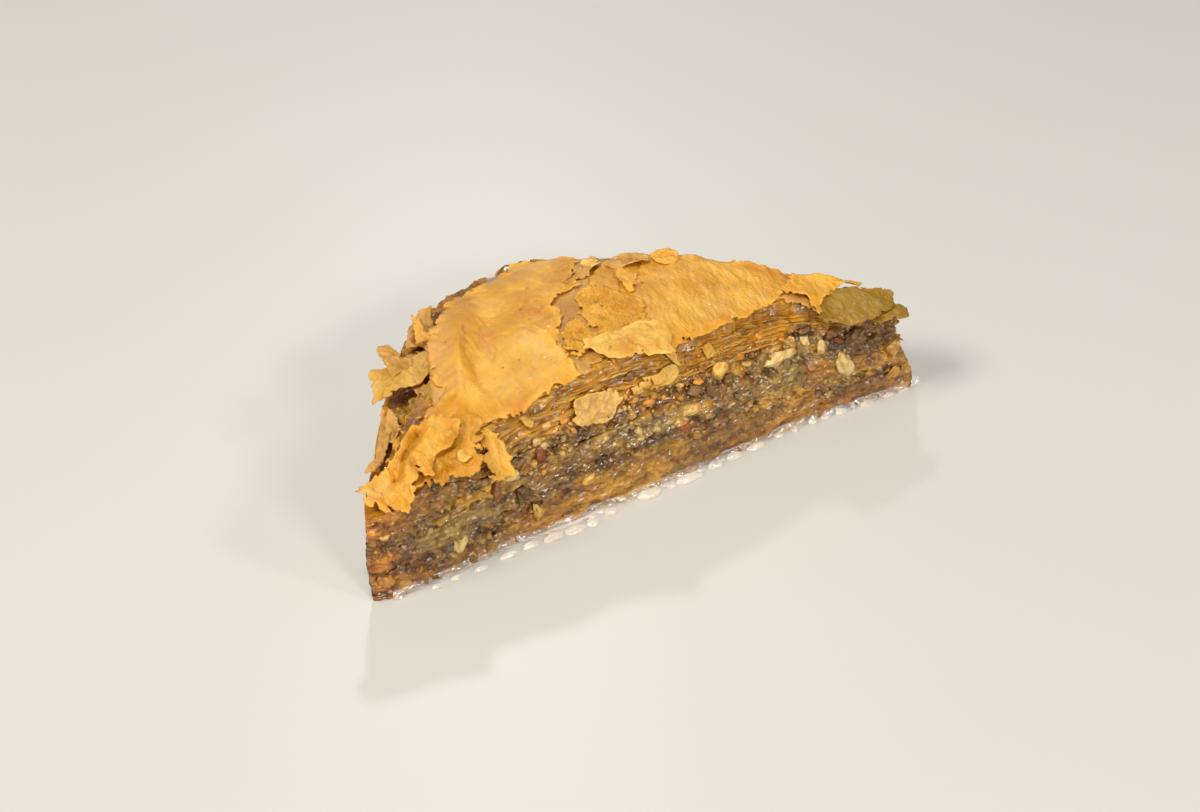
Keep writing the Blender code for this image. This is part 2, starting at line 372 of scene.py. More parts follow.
def points_of(piece):
    flat = np.zeros(len(piece.data.vertices) * 3, np.float32)
    piece.data.vertices.foreach_get("co", flat)
    return flat.reshape(-1, 3).astype(float)


def move_points(piece, points):
    piece.data.vertices.foreach_set("co", np.asarray(points, np.float32).ravel())
    piece.data.update()


WET = {
    "rust": colour("a85e13"),
    "umber": colour("8e611e"),
    "plum": colour("643b14"),
    "black": colour("291604"),
    "amber": colour("b6750c"),
    "honey": colour("c89228"),
    "straw": colour("d1a43d"),
    "grey": colour("9a7c3a"),
    "tan": colour("b47d29"),
    "brown": colour("824f13"),
    "orange": colour("c47713"),
    "cream": colour("dab74c"),
}
# the tone of each layer at the stations, from the plate up
LAYER_TONES = (
    ("rust", "umber", "amber", "honey", "brown", "tan", "brown", "tan"),
    ("rust", "plum", "brown", "umber", "umber", "tan", "umber", "tan"),
    ("rust", "grey", "umber", "grey", "umber", "grey", "tan", "tan"),
    ("umber", "honey", "umber", "umber", "umber", "grey", "plum", "brown"),
    ("orange", "umber", "amber", "amber", "amber", "amber", "umber", "orange"),
)
# places in the cut: along, height, half length, half height, turn, tone, strength
CUT_MARKS = (
    (2.0, 4.3, 1.8, 2.2, 0.0, "orange", 0.5), (3.6, 9.3, 0.9, 1.3, 0.2, "black", 0.9),
    (6.2, 2.0, 1.6, 1.2, 0.0, "straw", 0.6), (8.5, 6.2, 3.6, 2.4, 0.3, "plum", 0.8),
    (8.0, 12.8, 5.0, 3.2, -0.1, "plum", 0.6), (13.0, 16.5, 6.0, 2.2, -0.1, "umber", 0.7),
    (12.0, 10.0, 7.0, 1.6, 0.05, "grey", 0.5), (19.0, 8.2, 8.0, 0.9, -0.05, "grey", 0.6),
    (22.6, 6.4, 2.6, 0.8, 0.1, "black", 0.85), (15.0, 14.6, 6.0, 0.7, -0.25, "plum", 0.6),
    (20.0, 14.2, 4.5, 1.9, 0.0, "honey", 0.7), (27.5, 3.0, 5.0, 1.6, 0.0, "umber", 0.6),
    (33.4, 11.3, 2.4, 1.6, -0.5, "plum", 0.95), (31.0, 14.6, 3.0, 1.8, 0.1, "straw", 0.55),
    (37.5, 8.5, 2.2, 2.4, 0.9, "grey", 0.6), (36.5, 4.6, 1.6, 2.6, 0.4, "straw", 0.5),
    (43.0, 10.4, 5.0, 2.0, 0.15, "brown", 0.6), (43.5, 4.5, 4.2, 2.4, 0.2, "amber", 0.9),
    (48.0, 8.6, 3.0, 1.6, 0.1, "honey", 0.9), (51.0, 1.6, 7.0, 1.2, 0.0, "amber", 0.7),
    (50.0, 13.8, 9.0, 1.3, 0.05, "umber", 0.6), (56.0, 9.8, 5.0, 0.9, 0.1, "brown", 0.7),
    (58.0, 11.2, 7.0, 0.6, 0.1, "plum", 0.7), (63.0, 6.0, 9.0, 2.4, 0.0, "amber", 0.6),
    (68.0, 12.0, 4.5, 0.8, 0.0, "plum", 0.5), (71.2, 11.8, 1.8, 1.2, 0.2, "orange", 0.9),
    (73.0, 14.4, 5.5, 1.5, 0.1, "straw", 0.7), (77.0, 17.0, 4.6, 1.8, 0.0, "plum", 0.9),
    (66.5, 17.5, 7.0, 1.4, 0.0, "amber", 0.5), (84.0, 16.0, 4.0, 1.6, 0.3, "umber", 0.7),
    (80.0, 11.6, 6.0, 0.8, 0.0, "plum", 0.6), (87.0, 11.9, 3.2, 0.9, 0.1, "black", 0.6),
    (82.0, 5.5, 6.0, 2.5, 0.0, "umber", 0.8), (84.5, 3.0, 3.0, 0.8, 0.2, "amber", 0.7),
    (92.0, 9.5, 6.0, 2.0, 0.0, "tan", 0.7), (101.5, 8.6, 3.4, 1.6, -0.4, "honey", 0.8),
    (97.0, 17.4, 5.0, 2.2, 0.0, "straw", 0.35), (97.5, 2.6, 4.0, 0.8, 0.1, "amber", 0.6),
    (106.8, 11.4, 3.4, 3.2, 0.1, "amber", 0.95), (105.6, 8.6, 2.0, 1.5, 0.0, "brown", 0.8),
    (100.0, 14.0, 5.0, 2.0, 0.0, "grey", 0.6), (113.0, 8.0, 6.0, 1.5, -0.05, "straw", 0.5),
    (117.0, 16.6, 7.5, 3.2, 0.0, "plum", 0.85), (112.0, 14.9, 3.0, 0.8, 0.3, "black", 0.6),
    (120.0, 14.6, 6.0, 0.5, 0.0, "black", 0.5), (124.0, 12.2, 3.4, 2.2, 0.0, "amber", 0.85),
    (113.0, 5.3, 6.0, 0.7, 0.0, "plum", 0.55), (125.6, 5.0, 2.4, 2.0, 0.2, "orange", 0.8),
    (109.0, 2.4, 9.0, 1.2, 0.0, "rust", 0.5), (104.8, 20.2, 2.2, 1.6, 0.0, "plum", 0.9),
    (44.0, 17.6, 6.0, 1.4, 0.0, "plum", 0.65), (36.0, 18.8, 5.0, 1.8, 0.0, "grey", 0.5),
    (2.4, 11.0, 1.7, 5.5, 0.0, "orange", 0.8), (2.6, 5.0, 1.6, 2.4, 0.0, "orange", 0.7),
    (14.0, 12.4, 8.0, 2.6, -0.1, "grey", 0.6), (16.0, 6.4, 5.0, 1.2, 0.0, "grey", 0.5),
    (62.0, 25.3, 5.0, 1.2, 0.0, "plum", 0.75), (52.0, 25.6, 6.0, 1.3, 0.0, "umber", 0.5),
    (75.0, 21.6, 4.0, 1.0, 0.0, "plum", 0.5), (91.0, 19.2, 9.0, 1.2, 0.0, "honey", 0.5),
    (56.0, 7.6, 6.0, 1.6, 0.05, "umber", 0.6), (110.0, 16.0, 4.0, 2.4, 0.0, "plum", 0.55),
)


def blend_tone(low, high, t):
    low, high = np.asarray(low), np.asarray(high)
    return low + np.asarray(t)[..., None] * (high - low)


CHOPPED = np.array([WET[name] for name in ("plum", "grey", "umber", "straw", "brown", "tan", "black", "cream")])


def cut_tone(x, z, seed=0.0):
    """The colour of the cut at this place, before the shader's fine grain, with a painted highlight on the sheet lips
    and painted shade in the gaps between them.
    """
    wx = x + 1.3 * rough(x / 3.5, z / 2.0, 21.0 + seed)
    wz = z + 0.7 * rough(x / 3.0, z / 1.6, 23.0 + seed) + 0.25 * rough(x / 0.9, z / 0.6, 24.0)
    layers = []
    for row in LAYER_TONES:
        parts = [between_stations([WET[name][i] for name in row], wx) for i in range(3)]
        layers.append(np.stack(parts, axis=-1))
    tone = layers[0]
    for values, above in zip((BASE_TOP, LOWER_NUT_TOP, MIDDLE_TOP, UPPER_NUT_TOP), layers[1:]):
        tone = blend_tone(tone, above, smooth((wz - between_stations(values, wx) + 0.45) / 0.9))
    for mark_x, mark_z, half_x, half_z, turn, name, strength in CUT_MARKS if seed == 0.0 else ():
        dx, dz = wx - mark_x, wz - mark_z
        along = dx * math.cos(turn) + dz * math.sin(turn)
        across = dz * math.cos(turn) - dx * math.sin(turn)
        inside = np.hypot(along / half_x, across / half_z)
        tone = blend_tone(tone, WET[name], strength * (1.0 - smooth((inside - 0.55) / 0.75)))
    nutty = nuttiness(x, z)
    sheet, lip, strong = sheet_edges(x, z, seed)
    crisp = crispness(x, z)
    # painted highlight: paler on the sheet lips that stand out
    pale = 0.6 * crisp * lip * strong * smooth(0.5 + 1.5 * rough(x / 3.0, sheet * 1.7, seed + 11.0))
    tone = blend_tone(tone, WET["straw"], (1.0 - nutty) * pale)
    # painted shade: darker in the gaps between the sheet lips
    tone = blend_tone(tone, WET["umber"], (1.0 - nutty) * crisp * 0.5 * (1.0 - smooth(lip / 0.35)))
    cx, cz = x + 0.5 * rough(x / 1.6, z / 1.3, seed + 6.0), z + 0.4 * rough(x / 1.6, z / 1.3, seed + 7.0)
    depth, number = packed(cx / 1.7, cz / 1.25, seed)
    own = CHOPPED[np.minimum((number * len(CHOPPED)).astype(int), len(CHOPPED) - 1)]
    tone = blend_tone(tone, own, (0.10 + 0.18 * nutty) * smooth(depth / 0.3))
    stain = rougher(x / 2.6, z / 1.5, seed + 12.0)
    tone = blend_tone(tone, WET["plum"], 0.5 * smooth(stain * 1.6 - 0.25))
    return blend_tone(tone, WET["honey"], 0.4 * smooth(-stain * 1.6 - 0.25))


def painted_relief_shade(tone, depth):
    """Painted shade and highlight from the relief: darker and browner in the pits, a little paler where it stands out.
    """
    dark = np.clip(-depth * 1.1, -0.2, 0.82)[..., None]
    return tone * (1.0 - dark * np.array((0.85, 1.0, 1.15)))


def paint(piece, tones):
    """Keeps a colour for each point of a mesh, for its material to read."""
    layer = piece.data.color_attributes.new("tone", "FLOAT_COLOR", "POINT")
    values = np.ones((len(tones), 4), np.float32)
    values[:, :3] = np.clip(tones, 0.0, 1.0)
    layer.data.foreach_set("color", values.ravel())


def finish_piece(piece, material, slot, *nodes):
    """Hands a finished piece to its material, its body and its CAD nodes."""
    piece.data.materials.clear()
    piece.data.materials.append(material)
    piece.data.shade_smooth()
    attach(piece, "root")
    if nodes:
        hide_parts(*nodes)


def columns_along(z):
    """The mesh's places along the cut: even, but close together round the two noses."""
    nose = [NOSE * (1.0 - math.cos(math.pi / 2 * i / 6)) for i in range(6)]
    left, right = left_end(z), right_end(z)
    count = round((CUT_LENGTH - 2 * NOSE) / COLUMN_STEP)
    inner = [left + NOSE + (right - left - 2 * NOSE) * i / count for i in range(count + 1)]
    return [left + d for d in nose] + inner + [right - d for d in reversed(nose)]


STARTS = np.array([columns_along(z) for z in range(41)])
COLUMNS = STARTS.shape[1] - 1


def wrap(name, bottom, top, rows, side_seed, skin=None):
    """One layer as a skin wrapped round it: up the cut, over, down the back and under."""
    rows_front, rows_top, rows_back, rows_under = rows
    ring = sum(rows)
    solo()
    bpy.ops.mesh.primitive_grid_add(x_subdivisions=COLUMNS, y_subdivisions=ring, size=1.0)
    piece = bpy.context.object
    piece.name = name
    flat = points_of(piece)
    column = np.rint((flat[:, 0] + 0.5) * COLUMNS).astype(int)
    row = np.rint((flat[:, 1] + 0.5) * ring).astype(int) % ring

    def along(z):
        k = np.clip(np.floor(z), 0, 39).astype(int)
        return STARTS[k, column] + (STARTS[k + 1, column] - STARTS[k, column]) * (z - k)

    up_front = row / rows_front
    over_top = (row - rows_front) / rows_top
    down_back = (row - rows_front - rows_top) / rows_back
    underneath = (row - ring + rows_under) / rows_under
    parts = (up_front < 1.0, over_top < 1.0, down_back < 1.0)
    side = np.select(parts, (0.0 * row, over_top, 1.0 + 0.0 * row), 1.0 - underneath)
    x = along(5.0)
    y_front = front(x, 5.0)
    y_back = np.maximum(back(x, 5.0), y_front + CORNER_WIDTH)
    low_front, high_front = bottom(x, y_front), top(x, y_front)
    low_back, high_back = bottom(x, y_back), top(x, y_back)
    heights = (
        low_front + (high_front - low_front) * up_front,
        high_front + (high_back - high_front) * side,
        high_back + (low_back - high_back) * down_back,
    )
    z = np.select(parts, heights, low_front + (low_back - low_front) * side)
    x = along(z)
    z_front = np.select(parts, (z, high_front, high_front), low_front)
    z_back = np.select(parts, (high_back, high_back, z), low_back)
    y_front = front(x, z_front)
    y_back = np.maximum(back(x, z_back), y_front + CORNER_WIDTH) + relief(x, z_back, side_seed)
    y_front = y_front - relief(x, z_front)
    y = y_front + side * (y_back - y_front)
    z = np.select(parts, (z, top(x, y), z), bottom(x, y))
    end = np.minimum(x - left_end(z), right_end(z) - x)
    narrow = np.sqrt(1.0 - (1.0 - np.clip(end / NOSE, 0.0, 1.0)) ** 2)
    middle = (y_front + y_back) / 2
    y = middle + (y - middle) * narrow
    move_points(piece, to_model(x, y, z))
    # painted shade in the pits of the relief and a painted highlight where it stands out, on both sides
    facing = painted_relief_shade(cut_tone(x, z), relief(x, z))
    hidden = painted_relief_shade(cut_tone(x, z, side_seed), relief(x, z, side_seed))
    tones = np.where((side < 0.5)[:, None], facing, hidden)
    if skin:
        bare = smooth(np.minimum(side, 1.0 - side) * 40.0) * parts[1] * ~parts[0]
        tones = blend_tone(tones, skin(x, y), bare)
    paint(piece, tones)
    bpy.ops.object.mode_set(mode="EDIT")
    bpy.ops.mesh.select_all(action="SELECT")
    bpy.ops.mesh.remove_doubles(threshold=0.00002)
    bpy.ops.mesh.normals_make_consistent(inside=False)
    bpy.ops.object.mode_set(mode="OBJECT")
    return piece


def wet_finish(name, gloss, crumb):
    """Pastry or nut soaked in syrup: fine grain, pits with painted shade in them, and glints, under a wet film."""
    made, shader, place = new_finish(name)
    tone = place.node("ShaderNodeAttribute", {"attribute_name": "tone"})
    mottle = place.grain(2.0, 4.0, 0.55, (0.45, 1.0, 1.0))
    crumbs = place.grain(0.9, 2.0, 0.5, (0.7, 1.0, 1.0))
    grit = place.grain(0.35, 1.0)
    light = 0.38 + mottle * 0.80 + crumbs * 0.30 + grit * 0.06
    grey = place.node("ShaderNodeCombineColor", None, {0: light, 1: light, 2: light})
    body = tone.mixed(grey, 1.0, "MULTIPLY")
    # painted shade: near-black brown in the low places of the bump, its pits
    body = body.mixed((0.10, 0.04, 0.015, 1.0), (1.0 - mottle).between(0.52, 0.70) * 0.45)
    body = body.mixed((0.62, 0.44, 0.18, 1.0), crumbs.between(0.60, 0.76) * 0.22)
    join(body, shader, "Base Color")
    join(0.05 + mottle.between(0.45, 0.70) * 0.12, shader, "Roughness")
    wave = place.grain(3.0, 2.0, 0.5, (0.6, 1.0, 1.0))
    ridge = (0.09 - place.maths("ABSOLUTE", wave - 0.5)).between(0.0, 0.09)
    height = mottle * 0.9 + crumbs * crumb * 0.6 + ridge * 0.35
    join(height.bump(1.0, 0.8), shader, "Normal")
    shader.inputs["Coat Weight"].default_value = gloss
    shader.inputs["Coat Roughness"].default_value = 0.03
    shader.inputs["Specular IOR Level"].default_value = 0.8
    shader.inputs["Specular Tint"].default_value = (1.0, 0.90, 0.72, 1.0)
    shader.inputs["Coat Tint"].default_value = (1.0, 0.94, 0.80, 1.0)
    shader.inputs["Subsurface Weight"].default_value = 0.2
    shader.inputs["Subsurface Radius"].default_value = (1.0, 0.6, 0.25)
    shader.inputs["Subsurface Scale"].default_value = 0.0014
    return made


soaked_pastry = wet_finish("soaked_pastry", 0.2, 0.5)


def plate_level(x, y):
    return 0.0 * x


def top_of(values):
    return lambda x, y: layer_height(values, x, y)


base = wrap("bottom_pastry", plate_level, top_of(BASE_TOP), (32, 10, 26, 6), 31.0)
finish_piece(base, soaked_pastry, "syrup_pastry", "base_pastry")


# ---- The lower band of walnuts ----
# Chopped walnut pressed between the sheets, dark with its own skin and swollen
# with syrup, so that pastry and nut run into one another.
soaked_walnut = wet_finish("soaked_walnut", 0.2, 0.7)
lower_nuts = wrap("lower_walnuts", top_of(BASE_TOP), top_of(LOWER_NUT_TOP), (13, 6, 12, 6), 37.0)
finish_piece(lower_nuts, soaked_walnut, "walnut_filling", "lower_walnut_filling")


# ---- The middle pastry ----
# Half a dozen sheets that have gone pale and grey-green between the two bands.
middle = wrap("middle_pastry_leaves", top_of(LOWER_NUT_TOP), top_of(MIDDLE_TOP), (19, 6, 16, 6), 43.0)
finish_piece(middle, soaked_pastry, "syrup_pastry", "middle_pastry")


# ---- The upper band of walnuts ----
# The same filling again, thickest to the right, where the top has pulled away.
upper_nuts = wrap("upper_walnuts", top_of(MIDDLE_TOP), top_of(UPPER_NUT_TOP), (22, 6, 18, 6), 47.0)
finish_piece(upper_nuts, soaked_walnut, "walnut_filling", "upper_walnut_filling")


# ---- The top pastry ----
# The upper dozen sheets, amber with syrup, their edges open to view in the cut.
# Its domed top is the last soft sheet under the baked crust.
DOME_FRONT = 22.0
EDGE_ROUND, LEDGE_HEIGHT = 1.6, 20.2


def crust_height(x, y):
    """The domed top, with the fold that runs in the big leaf on its left."""
    fall = np.where(y < DOME_FRONT, 46.0, 39.5)
    reach = np.where(x < MIDDLE, *DOME_REACH)
    out = ((x - MIDDLE) / reach) ** 2 + ((y - DOME_FRONT) / fall) ** 2
    dome = CORNER_HEIGHT + DOME_RISE * np.maximum(0.0, 1.0 - out)
    across = (x - 38.0) * 0.862 - (y - 32.0) * 0.507
    lengthways = (x - 38.0) * 0.507 + (y - 32.0) * 0.862
    fold = 1.3 * bell(across / 2.6) * bell(lengthways / 14.0)
    trough = -0.9 * bell((across - 6.0) / 3.5) * bell(lengthways / 16.0)
    return dome + fold + trough + 0.5 * rough(x / 11.0, y / 11.0, 5.0)


def rim(x, z):
    """Front edge, crust's rim and back edge, where the crust steps down to the ledge."""
    y_front = front(x, z)
    y_back = np.maximum(back(x, z), y_front + CORNER_WIDTH)
    wave = 3.2 * bell((x - 37.0) / 7.0) - 3.4 * bell((x - 26.0) / 6.0)
    y_rim = np.minimum(x + wave, y_back - 2.0)
    return y_front, np.maximum(y_rim, y_front + 0.6 * (y_back - y_front)), y_back


def under_crust(x, y):
    """The soft top under the baked leaves, rounded at its rim, low on the ledge."""
    y_front, y_rim, y_back = rim(x, CORNER_HEIGHT)
    high = crust_height(x, y) - 0.5
    domed = smooth((high - CORNER_HEIGHT) / 6.0)
    inside = np.maximum(0.0, np.minimum(y - y_front, y_rim - y))
    rounded = high - EDGE_ROUND * domed * (1.0 - smooth(inside / 4.0))
    past = smooth((y - y_rim) / 1.6) * smooth((y_back - y_rim - 2.0) / 4.0)
    below = rounded - 0.8 * domed * smooth((y - y_rim) / 0.8)
    ledge = LEDGE_HEIGHT - 0.9 + 0.6 * rougher(x / 3.0, y / 3.0, 14.0)
    return below + past * (np.minimum(ledge, below) - below)


def ledge_skin(x, y):
    """The amber-brown, see-through skin of the soft top, where no baked leaf covers it."""
    tone = blend_tone(WET["amber"], WET["brown"], smooth(0.5 + 1.2 * rougher(x / 5.0, y / 5.0, 15.0)))
    tone = blend_tone(tone, WET["plum"], 0.3 * smooth(rougher(x / 2.5, y / 2.5, 16.0) * 1.5 - 0.2))
    return blend_tone(tone, WET["honey"], 0.9 * smooth((x - 20.0) / 8.0) * smooth((34.0 - y) / 12.0))


top_leaves = wrap("top_pastry_leaves", top_of(UPPER_NUT_TOP), under_crust, (34, 100, 24, 6), 53.0, ledge_skin)
finish_piece(top_leaves, soaked_pastry, "syrup_pastry", "top_pastry")


# ---- The baked crust ----
# The uppermost sheets, brushed with butter and baked crisp: thin gold leaves that
# lie over the dome, torn and curled where they end. Each is one brittle sheet,
# stuck to the next by syrup, with its ragged edge standing a little proud.
LEAF_THICKNESS = 0.2
BAKED = {
    "gold": colour("d29227"),
    "pale": colour("d8a548"),
    "cream": colour("e0bc74"),
    "dry": colour("d6a458"),
    "khaki": colour("bd9038"),
    "peach": colour("cf944c"),
    "amber": colour("c48406"),
    # a deep orange used for painted shade in the crust's hollows, and for the leaf that lies in one
    "orange_in_shade": colour("b67a06"),
    "deep": colour("a2640a"),
    "olive": colour("86640c"),
    "tan": colour("b6843a"),
    "toast": colour("743f13"),
    "speck": colour("471f15"),
}
# marks on the crust: place, half sizes, turn, tone, strength
CRUST_MARKS = (
    # painted glow in the amber band along the fold of the big left leaf, painted shade in the deep line of its crease
    # and on the peach facet beside it
    (40.4, 37.4, 4.8, 1.3, 1.17, "amber", 0.9), (36.9, 29.6, 5.6, 1.5, 1.10, "amber", 1.0),
    (34.1, 21.0, 5.6, 1.3, 1.36, "amber", 1.0), (33.2, 14.5, 3.4, 0.8, 1.57, "amber", 0.7),
    (37.3, 29.8, 6.5, 0.4, 1.12, "deep", 0.7), (34.3, 20.5, 4.0, 0.3, 1.36, "deep", 0.6),
    (32.4, 30.2, 8.5, 3.0, 1.08, "peach", 0.9), (30.0, 20.5, 5.0, 2.4, 1.36, "peach", 0.7), (38.0, 39.5, 4.0, 1.6, 0.95, "peach", 0.5),
    # the amber marks on these two lines, under the left leaf's front edge and in the notch below it, are painted shade
    (24.0, 16.6, 4.5, 1.2, 0.3, "peach", 0.7), (25.5, 14.6, 3.5, 0.9, 0.35, "amber", 0.8),
    (27.3, 9.0, 1.3, 2.8, 0.2, "amber", 0.8), (24.0, 12.4, 2.0, 0.8, -0.4, "amber", 0.8),
    (38.5, 11.0, 6.0, 4.0, 0.0, "pale", 0.5), (44.0, 17.0, 8.0, 7.0, 0.9, "pale", 0.45),
    (52.7, 33.2, 0.4, 0.5, 0.0, "speck", 0.75), (58.3, 41.0, 0.8, 0.25, 1.2, "toast", 0.6),
    (55.0, 26.2, 1.6, 0.9, 0.5, "deep", 0.5), (50.0, 27.6, 0.4, 0.6, 0.0, "deep", 0.5),
    (51.8, 28.2, 0.5, 0.4, 0.0, "deep", 0.6), (65.5, 23.0, 0.4, 0.8, -0.4, "speck", 0.9),
    (65.4, 25.0, 0.5, 0.6, 0.0, "toast", 0.8), (78.0, 27.2, 1.1, 0.4, 1.0, "toast", 0.8),
    (63.5, 19.2, 1.0, 0.8, 0.3, "toast", 0.5), (57.2, 17.5, 0.9, 0.9, 0.0, "deep", 0.6),
    (55.2, 15.0, 2.8, 0.5, -0.2, "deep", 0.6), (61.0, 16.4, 1.6, 0.6, 0.3, "deep", 0.5),
    (64.6, 14.0, 1.0, 0.5, 0.1, "toast", 0.4), (59.0, 9.2, 0.8, 0.3, 0.4, "toast", 0.5),
    (73.6, 30.5, 0.7, 3.4, 0.15, "deep", 0.55), (79.0, 24.0, 5.0, 3.4, 0.6, "amber", 0.55),
    (82.0, 34.8, 0.9, 0.4, 0.9, "toast", 0.6), (84.5, 31.5, 2.6, 1.6, 0.4, "amber", 0.6),
    (71.0, 18.6, 0.8, 0.8, 0.0, "deep", 0.5), (91.4, 20.0, 0.4, 0.7, 0.0, "toast", 0.4),
    (97.2, 17.6, 1.8, 2.2, -0.3, "amber", 0.8), (97.5, 12.5, 4.0, 2.2, 0.3, "peach", 0.5),
    (101.5, 12.6, 1.4, 1.0, 0.0, "amber", 0.6), (47.0, 8.0, 2.0, 2.2, 0.0, "amber", 0.5),
    (85.0, 13.0, 6.0, 5.0, 0.2, "pale", 0.5), (74.0, 13.0, 4.0, 4.0, 0.0, "pale", 0.4),
    (47.0, 47.0, 3.2, 1.6, 0.2, "deep", 0.6), (75.2, 6.2, 0.7, 0.5, 0.0, "deep", 0.8),
    # the deep orange marks here and two lines below, along the lobe's valley and in its hollows, are painted shade
    (14.0, 8.4, 5.2, 1.8, 0.75, "orange_in_shade", 1.0), (8.5, 3.0, 4.0, 1.2, 0.6, "orange_in_shade", 0.8), (20.6, 8.6, 1.5, 2.6, 0.4, "pale", 0.8),
    (16.5, 5.0, 2.6, 1.0, 0.75, "pale", 0.6), (12.2, 3.4, 0.9, 2.4, -0.3, "deep", 0.8),
    (24.0, 1.5, 2.0, 1.4, 0.2, "gold", 0.8), (18.5, 0.8, 2.2, 1.0, 0.1, "deep", 0.7),
    (21.5, 4.5, 3.0, 2.2, 0.5, "orange_in_shade", 0.9), (17.0, 2.0, 2.4, 1.4, 0.2, "orange_in_shade", 0.9), (27.5, 4.0, 1.0, 2.5, 0.2, "deep", 0.5),
    (10.0, 3.0, 1.4, 1.0, 0.8, "amber", 0.6),
    (4.0, 2.4, 3.0, 2.4, 0.0, "peach", 0.7), (2.2, 3.4, 0.8, 1.2, 0.0, "cream", 0.7),
)


def crust_top(x, y):
    """Where the baked leaves lie: over the dome, turned down a little at its rim."""
    y_front, y_rim, y_back = rim(x, CORNER_HEIGHT)
    high = crust_height(x, y)
    inside = np.maximum(0.0, np.minimum(y - y_front, y_back - y))
    return high - 0.8 * smooth((high - CORNER_HEIGHT) / 6.0) * (1.0 - smooth(inside / 3.0))


def inside_by(places, outline):
    """How far each place lies inside an outline, in millimetres; outside is negative."""
    corners = np.array(outline, float)
    nearest = np.full(len(places), 1e9)
    crossings = np.zeros(len(places), int)
    for a, b in zip(corners, np.roll(corners, -1, axis=0)):
        run = b - a
        t = np.clip(((places - a) @ run) / (run @ run), 0.0, 1.0)
        nearest = np.minimum(nearest, np.linalg.norm(places - a - t[:, None] * run, axis=1))
        spans = (a[1] > places[:, 1]) != (b[1] > places[:, 1])
        if a[1] != b[1]:
            crossing = a[0] + (places[:, 1] - a[1]) / (b[1] - a[1]) * run[0]
            crossings += spans & (places[:, 0] < crossing)
    return np.where(crossings % 2 == 1, nearest, -nearest)


def crust_tone(x, y, inside, lift, base, seed):
    """A leaf's colour: paler and deeper drifts, pale where it stands clear, and the marks, some of which are painted
    shade and glow in folds and hollows.
    """
    drift = rougher(x / 9.0, y / 13.0, seed)
    own = np.array(BAKED[base])
    paler = np.minimum(own * 1.22 + 0.02, 0.9)
    tone = blend_tone(own, paler, smooth(0.2 + 1.6 * drift))
    tone = blend_tone(tone, own * np.array((0.82, 0.62, 0.4)), 0.75 * smooth(-0.1 - 1.6 * drift))
    tone = blend_tone(tone, paler, 0.6 * (1.0 - smooth(inside / 0.8)))
    tone = blend_tone(tone, paler, 0.8 * smooth(lift / 0.7))
    wx, wy = x + 0.5 * rough(x / 2.0, y / 2.0, 61.0), y + 0.5 * rough(x / 2.0, y / 2.0, 63.0)
    for mark_x, mark_y, half_x, half_y, turn, name, strength in CRUST_MARKS:
        dx, dy = wx - mark_x, wy - mark_y
        along = dx * math.cos(turn) + dy * math.sin(turn)
        across = dy * math.cos(turn) - dx * math.sin(turn)
        apart = np.hypot(along / half_x, across / half_y)
        tone = blend_tone(tone, BAKED[name], strength * (1.0 - smooth((apart - 0.4) / 0.9)))
    return tone


def satin(x, y):
    """A big smooth leaf: broad swells and a few fine creases."""
    crease = abs(rough(x / 5.0 + 3.0, y / 11.0, 71.0))
    gathered = 0.4 * rough(x / 1.8, y / 9.0, 73.0) * smooth((17.0 - y) / 9.0)
    gathered += 0.55 * bell(((x - 33.6) * 0.9 - (y - 25.0) * 0.42) / 0.9) * smooth((42.0 - y) / 6.0)
    fine = 0.07 * rougher(x / 1.6, y / 2.4, 72.0)
    return 0.3 * rough(x / 8.0, y / 9.0, 70.0) - 0.2 * bell(crease / 0.04) + gathered + fine


def rippled(x, y):
    """A leaf that has shrunk into long ripples running back from the cut."""
    run = x - 0.45 * y + 1.6 * rough(x / 7.0, y / 11.0, 74.0)
    ripple = 0.13 * rough(run / 2.2, y / 8.0, 75.0) + 0.13 * rough(run / 0.9, y / 4.0, 76.0)
    return ripple + 0.25 * rough(x / 9.0, y / 9.0, 77.0)


def blistered(x, y):
    """A leaf that has bubbled all over in the oven."""
    depth, number = packed(x / 0.9, y / 0.9, 78.0)
    return 0.5 * smooth(depth / 0.5) * number + 0.3 * rougher(x / 1.6, y / 1.6, 79.0)


def crumpled(x, y):
    """A small leaf with soft folds."""
    fold = 1.0 - 2.0 * abs(rough(x / 3.4, y / 3.4, 82.0))
    return 0.55 * fold * fold + 0.3 * rough(x / 3.0, y / 3.0, 80.0) + 0.16 * rougher(x / 1.1, y / 1.4, 81.0)


